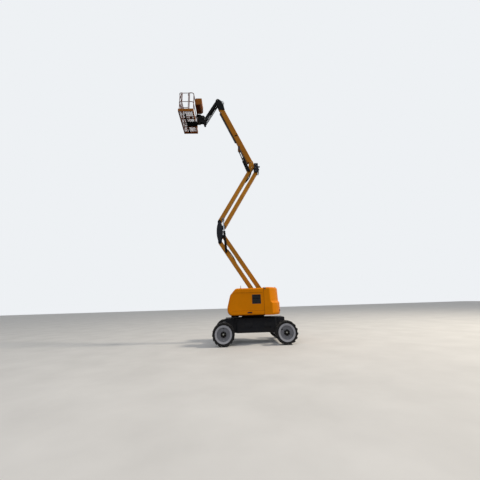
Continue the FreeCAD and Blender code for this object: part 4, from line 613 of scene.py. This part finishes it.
# %% Wheels
WHEEL_MIDDLE = 0.975
NUT_CIRCLE, NUT_SEAT = 0.152, 0.097
COVER_CIRCLE, COVER_SEAT = 0.088, 0.131
SIDE_RIBS = 32
for end in ("front", "rear"):
    for hand, sign in (("left", 1), ("right", -1)):
        corner = f"{end}_{hand}"
        body = f"{corner}_wheel"
        low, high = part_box(f"{corner}_rim")
        middle = (Vector(low) + Vector(high)) / 2
        middle.y = sign * WHEEL_MIDDLE
        axis = facing(middle, (0, sign, 0))
        nuts = Shape().ring_of_bolts(shifted(axis, z=NUT_SEAT), NUT_CIRCLE, 9, 0.024, 10)
        nuts.ring_of_bolts(shifted(axis, z=COVER_SEAT), COVER_CIRCLE, 6, 0.012)
        nuts.piece(f"wheel_nuts_{corner}", rim_grey, body, "bare_steel")
        cover = Shape().lathe([(0.108, 0.1285), (0.104, 0.1320), (0.062, 0.1320), (0.056, 0.1345),
                               (0.036, 0.1345), (0.034, 0.1317), (0, 0.1317)], axis, 40)
        cover.piece(f"hub_cover_{corner}", black, body, "black_steel")
        plug = Shape().lathe([(0.032, 0.1315), (0.032, 0.137), (0.024, 0.142), (0.011, 0.142),
                              (0, 0.1415)], axis, 24)
        plug.piece(f"hub_plug_{corner}", zinc, body, "bare_steel")
        ribs = Shape()
        for radius, depth in ((0.330, 0.1345), (0.343, 0.1372), (0.372, 0.1432)):
            ribs.lathe([(radius - 0.004, depth - 0.004), (radius - 0.0015, depth + 0.0035),
                        (radius + 0.0015, depth + 0.004), (radius + 0.005, depth - 0.002)],
                       axis, 72)
        for k in range(SIDE_RIBS):
            spoke = axis @ Matrix.Rotation(math.radians(k * 360 / SIDE_RIBS + 2), 4, "Z")
            ribs.slab((0.352, -0.004, 0.137), (0.366, 0.004, 0.1435), spoke, 0.001)
        ribs.piece(f"sidewall_ribs_{corner}", tyre_rubber, body, "tyre_rubber")
        valve = axis @ Matrix.Rotation(math.radians(118), 4, "Z")
        stem = Shape().pipe([(0.228, 0, 0.098), (0.232, 0, 0.112), (0.238, 0, 0.126)],
                            0.0045, valve, 8)
        stem.piece(f"valve_{corner}", zinc, body, "bare_steel")
print(len(made), "wheel pieces")

# %% [markdown]
# ## Chassis
#
# A bolted flange rings the foot of the slewing bearing, and bolted plates close the openings in
# the sides and ends of the frame. They are made in one Shape, since they never part.

# %% Chassis
flange = Shape().lathe([(0.4705, 0.9305), (0.530, 0.9305), (0.532, 0.934), (0.530, 0.942),
                        (0.4705, 0.942)], steps=72)
flange.ring_of_bolts(place((0, 0, 0.942)), 0.502, 30, 0.020)
flange.piece("bearing_flange", black, "chassis", "black_steel")
covers = Shape()
for sign in (1, -1):
    outer = (0, sign, 0)
    for x0 in (-0.66, 0.10):
        covers.side_slab(sign, (x0, x0 + 0.26), (0.599, 0.606), (0.56, 0.74), bevel=0.003)
        for x in (x0 + 0.02, x0 + 0.24):
            for z in (0.58, 0.72):
                covers.bolt(facing((x, sign * 0.606, z), outer), 0.014)
    for x in (-1.13, 1.04):
        for z in (0.66, 0.86):
            covers.bolt(facing((x, sign * 0.455, z), outer), 0.022)
for x, out in ((1.13, 1), (-1.22, -1)):
    face = x + out * 0.008
    near, far = sorted((x, face))
    covers.slab((near, -0.26, 0.69), (far, 0.26, 0.89), bevel=0.003)
    for y in (-0.24, -0.08, 0.08, 0.24):
        for z in (0.71, 0.87):
            covers.bolt(facing((face, y, z), (out, 0, 0)), 0.014)
covers.piece("frame_covers", charcoal, "chassis", "charcoal_paint")
print("chassis dressed")

# %% [markdown]
# ## Hoods
#
# A seal fills the joint between each hood and the counterweight. Each hood has a sunk latch with
# a dark paddle, a wire screen behind the slats of its vent, and screws along its panel, and thin
# raised dark beads along the panel's edges are painted shade for its creases. A tail lamp is let
# into the counterweight's upper edge, and the white of its lens is partly a painted highlight.
# Wires this thin are real pipes here, because a bump can't be seen through.

# %% Hoods
SEAL_X = -0.3925
HOOD_SIDE, PANEL_SIDE, CREASE_SHADE_SIDE = 0.9385, 0.944, 0.9450
VENT_X, VENT_Z = -0.256, 1.474
VENT_WIRES = 22
for hand, sign in (("left", 1), ("right", -1)):
    body = f"hood_{hand}_body"
    outer = (0, sign, 0)
    seal = Shape().pipe([(SEAL_X, sign * y, z) for y, z in (
        (0.46, 2.034), (0.87, 2.034), (0.924, 2.012), (0.938, 1.96), (0.938, 1.50), (0.938, 1.07))],
        0.0068, sides=8, steps=6)
    seal.piece(f"hood_seal_{hand}", seam_and_crease_shade, "turntable", "yellow_paint")
    latch = Shape().side_slab(sign, (0.087, 0.263), (HOOD_SIDE, HOOD_SIDE + 0.005), (1.116, 1.164))
    latch.piece(f"latch_tray_{hand}", dark_red, body, "black_plastic")
    paddle = Shape().side_slab(sign, (0.115, 0.205), (HOOD_SIDE + 0.004, HOOD_SIDE + 0.011),
                               (1.126, 1.154), bevel=0.003)
    paddle.lathe([(0.010, 0.0), (0.010, 0.006), (0.006, 0.0075), (0, 0.0075)],
                 facing((0.235, sign * (HOOD_SIDE + 0.003), 1.14), outer), 20)
    paddle.piece(f"latch_paddle_{hand}", black, body, "black_steel")
    screen = Shape()
    for k in range(VENT_WIRES):
        x, z = VENT_X + k * 0.0150, VENT_Z + k * 0.0148
        for wire in ([(x, sign * 0.913, VENT_Z), (x, sign * 0.913, 1.786)],
                     [(-0.258, sign * 0.911, z), (0.062, sign * 0.911, z)]):
            screen.pipe(wire, 0.0012, sides=5, smooth=False)
    screen.piece(f"vent_screen_{hand}", black, body, "black_steel")
    screws = Shape()
    for z, row in ((1.860, (-0.335, 0.15, 0.45, 0.70)), (1.232, (-0.335, -0.05, 0.38, 0.70))):
        for x in row:
            screws.lathe([(0.010, -0.0004), (0.010, 0.002), (0.0075, 0.0042), (0.003, 0.0046),
                          (0, 0.0036)], facing((x, sign * PANEL_SIDE, z), outer), 16)
    screws.piece(f"panel_screws_{hand}", yellow, body, "yellow_paint")
    # Painted shade: thin dark beads along the panel's upper and lower edges stand for the shade in its creases.
    crease_shade_beads = Shape()
    for z, front in ((1.879, 0.80), (1.213, 0.94)):
        crease_shade_beads.pipe([(x, sign * CREASE_SHADE_SIDE, z) for x in (-0.372, 0.2, front - 0.09)],
                   0.0045, sides=6, steps=4)
    crease_shade_beads.piece(f"panel_crease_shade_{hand}", seam_and_crease_shade, body, "yellow_paint")
    edge = facing((-0.447, sign * 0.936, 2.034), (0, sign * 0.86, 0.52))
    socket = Shape().lathe([(0.038, -0.006), (0.038, 0.006), (0.031, 0.012), (0.022, 0.014),
                            (0.020, 0.019), (0, 0.019)], edge, 28)
    socket.piece(f"tail_lamp_{hand}", black, "turntable", "black_steel")
    # The lens's white is partly a lamp lens and partly a painted highlight, the glint on the dark lamp.
    lens = Shape().lathe([(0.019, 0.018), (0.016, 0.022), (0.008, 0.0245), (0, 0.025)], edge, 24)
    lens.piece(f"tail_lamp_lens_and_glint_{hand}", white_plastic, "turntable", "black_plastic")
print("hoods dressed")

# %% [markdown]
# ## Alarm and counterweight
#
# A pale travel alarm stands on the left hood. The counterweight's back is an arc, so its red
# reflectors are placed and turned by the arc's centre, and plugs close its two lifting sockets on
# each side.

# %% Alarm and counterweight
ALARM = (0.5, 0.78)
TAIL_CENTRE_X, TAIL_RADIUS = 0.18, 1.30
alarm = Shape().lathe([(0.0155, 2.072), (0.0163, 2.074), (0.0163, 2.148), (0.0148, 2.156),
                       (0.009, 2.1595), (0, 2.1598)], place((*ALARM, 0)), 24)
alarm.piece("alarm_sleeve", white_plastic, "hood_left_body", "black_plastic")
base = Shape().lathe([(0.034, 2.0495), (0.034, 2.054), (0.030, 2.058), (0.0165, 2.060)],
                     place((*ALARM, 0)), 28)
base.ring_of_bolts(place((*ALARM, 2.0555)), 0.026, 3, 0.007)
base.piece("alarm_base", black, "hood_left_body", "black_steel")
bezels, reflectors, plugs = Shape(), Shape(), Shape()
for sign in (1, -1):
    for y in (0.16, 0.42):
        back = -math.sqrt(TAIL_RADIUS ** 2 - y ** 2)
        spot = facing((TAIL_CENTRE_X + back, sign * y, 1.18), (back, sign * y, 0))
        bezels.lathe([(0.044, -0.006), (0.044, 0.005), (0.036, 0.0072), (0.034, 0.005),
                      (0, 0.005)], spot)
        reflectors.lathe([(0.034, 0.0052), (0.030, 0.0078), (0.015, 0.009), (0, 0.0092)], spot, 28)
    for x in (-0.55, -0.92):
        plugs.lathe([(0.030, -0.001), (0.030, 0.004), (0.024, 0.006), (0.020, 0.006),
                     (0.016, 0.002), (0, 0.002)], place((x, sign * 0.50, 2.072)), 28)
        plugs.bolt(place((x, sign * 0.50, 2.0738)), 0.020, False)
bezels.piece("reflector_bezels", black, "turntable", "black_steel")
reflectors.piece("reflectors", red_plastic, "turntable", "black_plastic")
plugs.piece("lifting_plugs", zinc, "turntable", "bare_steel")
print("counterweight dressed")

# %% [markdown]
# ## Ground controls
#
# The right hood carries the ground control box: a black face with a row of switches, a key switch
# and a red stop button, as on any lift of this kind.

# %% Ground controls
PANEL_FACE = -0.956
RIGHT = (0, -1, 0)
face = Shape().slab((0.48, PANEL_FACE, 1.42), (0.72, -0.9435, 1.70), bevel=0.004)
face.piece("ground_panel", black, "hood_right_body", "black_steel")
switches = Shape()
for k in range(6):
    spot = facing((0.52 + 0.032 * k, PANEL_FACE, 1.50), RIGHT)
    switches.lathe([(0.008, -0.001), (0.008, 0.003), (0.005, 0.004), (0.004, 0.014),
                    (0.005, 0.018), (0, 0.019)], spot, 16)
switches.lathe([(0.030, -0.001), (0.030, 0.003), (0.026, 0.004), (0.026, 0.0022), (0, 0.0022)],
               facing((0.55, PANEL_FACE, 1.62), RIGHT), 32)
switches.piece("ground_switches", zinc, "hood_right_body", "bare_steel")
stop = Shape().lathe([(0.012, -0.001), (0.012, 0.008), (0.020, 0.010), (0.021, 0.016),
                      (0.016, 0.021), (0, 0.023)], facing((0.66, PANEL_FACE, 1.62), RIGHT), 28)
stop.piece("ground_stop_button", red_plastic, "hood_right_body", "black_plastic")
print("ground controls made")

# %% [markdown]
# ## Hoses on the riser
#
# The hoses run inside the arms and come out near each upper end, where they bow between arm and
# link before they enter the next joint. Both arms fold close to their links, so the bundles stay
# under 60 mm tall. Clamps with two bolts hold their ends.

# %% Arm hoses
ARM_HOSE_RADIUS = 0.0115
for name, axes, body, start, end, tall in (
    ("lower", lower_axes, "lower_arm_body", 1.98, 2.72, 0.122),
    ("upper", upper_axes, "upper_arm_body", 2.36, 3.00, 0.134),
):
    hoses = Shape()
    for k in range(5):
        y = -0.064 + 0.032 * k
        lift = tall - 0.008 * (k % 2)
        step = start + 0.02 * k
        hoses.pipe([(step, y, 0.078), (step + 0.05, y, 0.099), (start + 0.22, y, lift - 0.008),
                    ((start + end) / 2, y * 0.9, lift), (end - 0.20, y * 0.95, lift - 0.006),
                    (end - 0.05, y, 0.099), (end, y, 0.078)], ARM_HOSE_RADIUS, axes, 8, 7)
    hoses.piece(f"{name}_arm_hoses", hose_rubber, body, "black_plastic")
    clamps = Shape()
    for x in (start + 0.155, end - 0.075):
        clamps.slab((x - 0.018, -0.086, 0.1160), (x + 0.018, 0.086, 0.1205), axes, 0.0015)
        for y in (-0.082, 0.082):
            clamps.slab((x - 0.016, y - 0.004, 0.0855), (x + 0.016, y + 0.004, 0.1165), axes, 0.001)
            clamps.bolt(shifted(axes, x, y, 0.1205), 0.010)
    clamps.piece(f"{name}_hose_clamps", black, body, "black_steel")
print("arm hoses laid")

# %% [markdown]
# ## Cylinders and pins
#
# Steel pipes run along each barrel from the port block at its foot to the gland, whose nut is
# turned with a chamfer. Keeper plates with two bolts hold the pins.

# %% Cylinders and pins
for name, axes, middle, reach in (("riser", riser_axes, 0.190, 0.9),
                                  ("lift", lift_axes, 0.175, 0.74)):
    pipes, ports = Shape(), Shape()
    body = f"{name}_barrel_body"
    for sign in (1, -1):
        outer = sign * (middle + 0.058)
        wall = sign * (middle + 0.044)
        for z, end in ((0.016, reach - 0.03), (-0.014, reach - 0.12)):
            pipes.pipe([(0.17, wall, z), (0.20, outer, z), (0.25, outer, z), (end - 0.08, outer, z),
                        (end - 0.03, outer, z), (end, wall, z)], 0.006, axes, 8, 5)
        ports.side_slab(sign, (0.10, 0.19), (middle + 0.042, middle + 0.066), (-0.032, 0.032),
                        axes, 0.003)
        for x in (0.115, 0.175):
            ports.bolt(axes @ facing((x, sign * (middle + 0.066), 0.0), (0, sign, 0)), 0.012)
        nut = axes @ facing((0, sign * middle, 0), (1, 0, 0))
        ports.lathe([(0.0285, reach - 0.002), (0.0500, reach - 0.002), (0.0500, reach + 0.004),
                     (0.0470, reach + 0.008), (0.0285, reach + 0.008)], nut, 36)
        for x in (reach * 0.45, reach * 0.75):
            ports.lathe([(0.0502, x - 0.010), (0.0525, x - 0.010), (0.0525, x + 0.010),
                         (0.0502, x + 0.010)], nut, 36)
    pipes.piece(f"{name}_cylinder_pipes", black, body, "bare_steel")
    ports.piece(f"{name}_cylinder_ports", black, body, "black_steel")

KEEPER_TURN = 35
for body, spots in {
    "turntable": [(LOWER, 0.1293), (pivot["lower_link_turn"], 0.1293)],
    "middle_body": [(pivot["upper_link_turn"], 0.1243)],
    "upper_knuckle_body": [(KNUCKLE, 0.1243), (BOOM, 0.1243)],
    "extension_body": [(HEAD, 0.1106)],
    "rotator_body": [(JIB_END, 0.0963)],
}.items():
    keepers = Shape()
    for point, half in spots:
        for sign in (1, -1):
            axes = facing((point.x, sign * half, point.z), (0, sign, 0))
            axes = axes @ Matrix.Rotation(math.radians(KEEPER_TURN), 4, "Z")
            keepers.slab((-0.030, -0.012, -0.0005), (0.030, 0.012, 0.004), axes, 0.0015)
            for x in (-0.018, 0.018):
                keepers.bolt(shifted(axes, x, 0, 0.004), 0.011)
    keepers.piece(f"pin_keepers_{body}", zinc, body, "bare_steel")
print("cylinders and pins dressed")

# %% [markdown]
# ## Valve covers and axles
#
# Bolts hold the two valve covers on the upper knuckle. Two hoses run along each side of the rear
# axle to its wheel motor.

# %% Valve covers and axles
low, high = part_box("valve_covers")
cover_bolts = Shape()
for sign in (1, -1):
    for x in (low[0] + 0.085, low[0] + 0.215):
        for z in (low[2] + 0.060, low[2] + 0.235, low[2] + 0.410):
            cover_bolts.bolt(facing((x, sign * high[1], z), (0, sign, 0)), 0.014)
cover_bolts.piece("valve_cover_bolts", zinc, "upper_knuckle_body", "bare_steel")
axle_lines = Shape()
for sign in (1, -1):
    for k in range(2):
        axle_lines.pipe([(x - 0.024 * k, sign * y, z) for x, y, z in (
            (-1.09, 0.30, 0.548), (-1.09, 0.36, 0.556), (-1.09, 0.56, 0.552),
            (-1.10, 0.74, 0.545), (-1.12, 0.80, 0.500))], 0.009, sides=8)
axle_lines.piece("axle_hoses", hose_rubber, "chassis", "black_plastic")
print("valve covers and axles dressed")

# %% [markdown]
# ## Boom
#
# The boom's mouth has bolts for its wear pads on three sides, and a cable clamp sits on its left
# face. Three hydraulic pipes lie on its right face under clamps.

# %% Boom
bolts = Shape()
for sign in (1, -1):
    for x in (3.385, 3.335):
        for z in (-0.135, 0.048):
            bolts.bolt(boom_axes @ facing((x, sign * 0.100, z), (0, sign, 0)), 0.016)
for x in (3.385, 3.335):
    for y in (-0.06, 0.06):
        bolts.bolt(shifted(boom_axes, x, y, 0.089), 0.016)
bolts.piece("wear_pad_bolts", zinc, "boom_body", "bare_steel")
clamp = Shape().slab((1.712, 0.0995, -0.112), (1.766, 0.108, 0.062), boom_axes, 0.002)
clamp.slab((1.722, 0.108, -0.060), (1.756, 0.122, 0.010), boom_axes, 0.004)
for z in (-0.092, 0.042):
    clamp.bolt(boom_axes @ facing((1.739, 0.108, z), (0, 1, 0)), 0.014)
clamp.piece("boom_cable_clamp", black, "boom_body", "black_steel")
lines, stands = Shape(), Shape()
for k in range(3):
    z = -0.075 + 0.022 * k
    lines.pipe([(0.36, -0.098, z), (0.40, -0.111, z), (0.50, -0.111, z), (1.90, -0.111, z),
                (3.10, -0.111, z), (3.16, -0.111, z), (3.20, -0.098, z)], 0.007, boom_axes, 8, 5)
for k in range(6):
    x = 0.60 + 0.46 * k
    stands.slab((x - 0.014, -0.1195, -0.092), (x + 0.014, -0.0995, -0.014), boom_axes, 0.002)
    stands.bolt(boom_axes @ facing((x, -0.1195, -0.053), RIGHT), 0.010)
lines.piece("boom_pipes", zinc, "boom_body", "bare_steel")
stands.piece("boom_pipe_clamps", black, "boom_body", "black_steel")
print("boom dressed")

# %% [markdown]
# ## Head hoses
#
# Three hoses leave the crown of the boom head, bow over its end and go back in beside the jib. They
# are free between their fittings, so each is one smooth spline of its real length.

# %% Head hoses
HEAD_HOSE = 0.014
ENDS = (3.90, 4.09)
fittings = Shape()
for k in range(3):
    y = -0.050 + 0.050 * k
    rise = 0.018 * (k % 2)
    curve = bpy.data.curves.new(f"head_hose_{k + 1}", "CURVE")
    curve.dimensions = "3D"
    curve.bevel_depth = HEAD_HOSE / 2
    curve.bevel_resolution = 3
    curve.use_fill_caps = True
    run = curve.splines.new("NURBS")
    stations = [boom_axes @ Vector((x, y, z)) for x, z in (
        (ENDS[0], 0.135), (ENDS[0], 0.185), (3.905, 0.235 + rise), (3.955, 0.262 + rise),
        (4.035, 0.262 + rise), (4.085, 0.235 + rise), (ENDS[1], 0.185), (ENDS[1], 0.135))]
    run.points.add(len(stations) - 1)
    for point, station in zip(run.points, stations):
        point.co = (*station, 1)
    run.order_u = 3
    run.use_endpoint_u = True
    run.resolution_u = 10
    hose = bpy.data.objects.new(f"head_hose_{k + 1}", curve)
    bpy.context.scene.collection.objects.link(hose)
    curve.materials.append(hose_rubber)
    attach(hose, "extension_body")
    for x in ENDS:
        fittings.lathe([(0.0115, 0.118), (0.0115, 0.140), (0.0095, 0.143), (0.0085, 0.160),
                        (0.0072, 0.161)], shifted(boom_axes, x, y), 6)
fittings.piece("head_hose_fittings", zinc, "extension_body", "bare_steel")
print("head hoses laid")

# %% [markdown]
# ## Jib and rotator
#
# Three hoses lie on the jib's upper flange under clamps. The rotator is bolted to its yoke through
# both discs, and a valve block with fittings sits on its bracket.

# %% Jib
jib_hoses, jib_clamps = Shape(), Shape()
for k in range(3):
    y = -0.034 + 0.030 * k
    jib_hoses.pipe([(0.24, y, 0.064), (0.27, y, 0.0735), (0.70, y + 0.002, 0.0725),
                    (1.12, y, 0.0735), (1.15, y, 0.064)], 0.0095, jib_axes, 8, 5)
for x in (0.34, 0.58, 0.82, 1.06):
    jib_clamps.slab((x - 0.013, -0.052, 0.0825), (x + 0.013, 0.044, 0.0865), jib_axes, 0.001)
    for y in (-0.051, 0.041):
        jib_clamps.slab((x - 0.012, y - 0.003, 0.0622), (x + 0.012, y + 0.003, 0.0828), jib_axes,
                        0.001)
        jib_clamps.bolt(shifted(jib_axes, x, y, 0.0865), 0.008, False)
jib_hoses.piece("jib_hoses", hose_rubber, "jib_body", "black_plastic")
jib_clamps.piece("jib_hose_clamps", black, "jib_body", "black_steel")
rotator_bolts = Shape()
for z, turn in ((0.3063, 0), (-0.2263, 180)):
    spot = place((SWING.x, 0, SWING.z + z)) @ Matrix.Rotation(math.radians(turn), 4, "X")
    rotator_bolts.ring_of_bolts(spot, 0.074, 8, 0.015)
    rotator_bolts.lathe([(0.040, -0.0005), (0.040, 0.006), (0.034, 0.010), (0, 0.010)], spot, 36)
rotator_bolts.piece("rotator_bolts", zinc, "platform_body", "bare_steel")
valve, unions = Shape(), Shape()
for sign in (1, -1):
    valve.side_slab(sign, (SWING.x - 0.205, SWING.x - 0.135), (0.0870, 0.113),
                    (SWING.z + 0.02, SWING.z + 0.105), bevel=0.003)
    for z in (0.04, 0.085):
        valve.bolt(facing((SWING.x - 0.19, sign * 0.113, SWING.z + z), (0, sign, 0)), 0.010, False)
    for x in (-0.186, -0.154):
        unions.lathe([(0.010, -0.001), (0.010, 0.012), (0.007, 0.014), (0.007, 0.026),
                      (0.005, 0.027), (0, 0.027)],
                     place((SWING.x + x, sign * 0.100, SWING.z + 0.105)), 6)
valve.piece("rotator_valve", black, "rotator_body", "black_steel")
unions.piece("rotator_unions", zinc, "rotator_body", "bare_steel")
print("jib and rotator dressed")

# %% [markdown]
# ## Control console
#
# The operator's console hangs outside the rear rail. Its top holds a dark panel with three
# joysticks in rubber boots, a row of toggle switches and a red stop button, and screws hold its
# sides.

# %% Console
console_low, console_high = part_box("control_console")
left, top = console_low[0], console_high[2]
deck = top + 0.004
panel = Shape().slab((left + 0.030, -0.262, top - 0.002), (console_high[0] - 0.075, 0.422, deck),
                     bevel=0.003)
panel.piece("console_panel", black, "platform_body", "black_steel")
boots, sticks, toggles = Shape(), Shape(), Shape()
for y in (-0.17, 0.01, 0.19):
    spot = place((left + 0.14, y, deck))
    boots.lathe([(0.034, -0.001), (0.034, 0.004), (0.030, 0.009), (0.031, 0.012), (0.024, 0.018),
                 (0.025, 0.021), (0.017, 0.028), (0.012, 0.036), (0, 0.036)], spot, 28)
    sticks.lathe([(0.006, 0.034), (0.006, 0.058), (0.012, 0.064), (0.015, 0.078), (0.013, 0.090),
                  (0.006, 0.096), (0, 0.097)], spot, 20)
for k in range(8):
    toggles.lathe([(0.010, -0.001), (0.010, 0.003), (0.006, 0.004), (0.0035, 0.006),
                   (0.0045, 0.020), (0, 0.021)], place((left + 0.225, -0.20 + 0.07 * k, deck)), 12)
boots.piece("joystick_boots", hose_rubber, "platform_body", "black_plastic")
sticks.piece("joysticks", grey_plastic, "platform_body", "black_plastic")
toggles.piece("console_toggles", zinc, "platform_body", "bare_steel")
button = Shape().lathe([(0.012, -0.001), (0.012, 0.010), (0.022, 0.012), (0.023, 0.020),
                        (0.018, 0.026), (0, 0.028)], place((left + 0.14, 0.355, deck)), 28)
button.piece("console_stop_button", red_plastic, "platform_body", "black_plastic")
trim = Shape()
for sign, y in ((-1, console_low[1]), (1, console_high[1])):
    for x, z in ((0.04, 0.13), (0.12, 0.03), (0.31, 0.03), (0.31, 0.36), (0.04, 0.36)):
        trim.bolt(facing((left + x, y, console_low[2] + z), (0, sign, 0)), 0.010)
for y in (-0.16, 0.32):
    trim.lathe([(0.007, -0.03), (0.007, 0.03)], facing((left - 0.002, y, top - 0.05), (0, 1, 0)),
               12)
trim.piece("console_screws", zinc, "platform_body", "bare_steel")
print("console dressed")

# %% [markdown]
# ## Platform floor
#
# The floor is expanded metal: each strand zigzags against its neighbour, so the strands touch at
# their bends and leave diamonds that the sky shows through. A foot switch with a ribbed tread
# stands on it.

# %% Platform floor
STRANDS, BENDS = 29, 61
floor_low, floor_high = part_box("platform_floor")
floor_top = floor_high[2]
sheet = Shape()
for k in range(STRANDS):
    x = floor_low[0] + 0.042 + 0.0236 * k
    sheet.pipe([(x + (0.0098 if (i + k) % 2 else -0.0098), floor_low[1] + 0.042 + 0.0289 * i,
                 floor_top - 0.0258) for i in range(BENDS)], 0.0048, sides=4, smooth=False)
sheet.piece("expanded_sheet", mesh_steel, "platform_body", "floor_steel")
pedal = Shape()
for start, end, bevel in (((2.730, 0.255, 0.0), (2.880, 0.385, 0.030), 0.006),
                          ((2.735, 0.260, 0.062), (2.875, 0.380, 0.070), 0.003),
                          ((2.735, 0.258, 0.028), (2.742, 0.382, 0.066), 0.002)):
    pedal.slab((*start[:2], floor_top + start[2]), (*end[:2], floor_top + end[2]), bevel=bevel)
pedal.piece("foot_switch", dark_red, "platform_body", "black_plastic")
tread = Shape()
for k in range(7):
    x = 2.750 + 0.018 * k
    tread.slab((x, 0.270, floor_top + 0.0695), (x + 0.008, 0.370, floor_top + 0.0725), bevel=0.001)
tread.piece("foot_switch_tread", hose_rubber, "platform_body", "black_plastic")
print("platform floor made")

# %% [markdown]
# ## Rails, toe boards and gate
#
# Brackets clamp the console to the top rail, the toe boards are bolted on, anchor rings for
# harnesses hang at the posts, and the gate has a spring latch.

# %% Rails, toe boards and gate
rail_low, rail_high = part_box("guard_rails")
rail_top = rail_high[2]
straps = Shape()
for y in (-0.18, 0.34):
    straps.lathe([(0.0195, -0.022), (0.0225, -0.022), (0.0225, 0.022), (0.0195, 0.022)],
                 facing((rail_low[0] + 0.0193, y, rail_top - 0.019), (0, 1, 0)), 24, close=True)
    straps.slab((console_high[0] - 0.012, y - 0.022, rail_top - 0.052),
                (console_high[0] + 0.016, y + 0.022, rail_top - 0.036), bevel=0.002)
straps.piece("console_straps", black, "platform_body", "black_steel")
toe_low, toe_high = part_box("toe_boards")
toe_bolts = Shape()
for z in (toe_low[2] + 0.025, toe_low[2] + 0.125):
    for y in (-0.80, -0.40, 0.0, 0.40, 0.80):
        toe_bolts.bolt(facing((toe_low[0], y, z), (-1, 0, 0)), 0.012)
    for x in (2.66, 2.85, 3.12, 3.31):
        for sign, y in ((-1, toe_low[1]), (1, toe_high[1])):
            toe_bolts.bolt(facing((x, y, z), (0, sign, 0)), 0.012)
toe_bolts.piece("toe_board_bolts", zinc, "platform_body", "bare_steel")
RING_RADIUS, RING_STEPS = 0.024, 20
loop = [(RING_RADIUS * math.cos(turn), RING_RADIUS * math.sin(turn), 0)
        for turn in (2 * math.pi * k / RING_STEPS for k in range(RING_STEPS + 1))]
anchors = Shape()
for x, y in ((rail_low[0] + 0.0195, -0.60), (rail_high[0] - 0.0195, 0.45),
             (rail_high[0] - 0.0195, -0.45)):
    anchors.pipe(loop, 0.0045, place((x, y, rail_top - 0.066), 90), 8, smooth=False)
anchors.piece("harness_rings", zinc, "platform_body", "bare_steel")
latch = Shape().slab((2.872, 0.898, 11.560), (2.905, 0.921, 11.640), bevel=0.003)
latch.pipe([(2.888, 0.910, 11.632), (2.886, 0.910, 11.655), (2.872, 0.910, 11.668)], 0.005,
           sides=8)
latch.piece("gate_latch", black, "gate_body", "black_steel")
print("platform dressed,", len(made), "pieces,", sum(count for name, count in made), "faces")

# %% [markdown]
# ## Floor, sky and lamps
#
# A pale floor runs under the machine. The world is a pale, even sky, and one large soft lamp
# stands high on the machine's tail side, so the counterweight is the brightest face, as in the
# photograph. A weaker one fills the side that the camera sees.

# %% Studio
FLOOR_REACH = 60
floor_mesh = bpy.data.meshes.new("studio_floor")
floor_mesh.from_pydata([(x * FLOOR_REACH, y * FLOOR_REACH, 0)
                        for x, y in ((-1, -1), (1, -1), (1, 1), (-1, 1))], [], [(0, 1, 2, 3)])
studio_floor = bpy.data.objects.new("studio_floor", floor_mesh)
bpy.context.scene.collection.objects.link(studio_floor)
pale_floor, tree, shader, where = new_material("pale_floor")
seen_floor = add(tree, "Mix", 2, COLOUR, _0=mottle(tree, where, 0.8, 4, 0.3, 0.7),
                 _6=linear("#DCDBD9"), _7=linear("#E6E5E3"))
floor_colour = add(tree, "Mix", 2, COLOUR, _0=add(tree, "LightPath", "Is Camera Ray"),
                   _6=linear("#5F5B55"), _7=seen_floor)
fill(tree, shader, Base_Color=floor_colour, Roughness=0.9)
floor_mesh.materials.append(pale_floor)

world = bpy.data.worlds.new("pale_sky")
bpy.context.scene.world = world
world.use_nodes = True
sky = world.node_tree
background = sky.nodes["Background"]
fill(sky, background, Color=linear("#F4F6F8"), Strength=0.42)
seen_sky = add(sky, "Background", Color=linear("#EEF1F4"), Strength=1.0)
seen_by = add(sky, "Math", 0, MAXIMUM, _0=add(sky, "LightPath", "Is Camera Ray"),
              _1=add(sky, "LightPath", "Is Glossy Ray"))
sky_mix = add(sky, "MixShader", _0=seen_by, _1=background.outputs[0], _2=seen_sky)
fill(sky, sky.nodes["World Output"], Surface=sky_mix)


def lamp(name, spot, target, size, watts, colour):
    """A round area lamp at a spot, aimed at a target."""
    data = bpy.data.lights.new(name, "AREA")
    data.shape = "DISK"
    data.size = size
    data.energy = watts
    data.color = linear(colour)[:3]
    item = bpy.data.objects.new(name, data)
    bpy.context.scene.collection.objects.link(item)
    item.location = spot
    item.rotation_euler = (Vector(target) - Vector(spot)).to_track_quat("-Z", "Y").to_euler()


lamp("tail_key", (-20, 3, 22), (0, 0, 4), 4, 5000, "#FFF3E0")
lamp("side_fill", (6, 22, 14), (0, 0, 5), 14, 900, "#EAF1FF")
bpy.context.scene.view_settings.view_transform = "Standard"
print("studio ready")
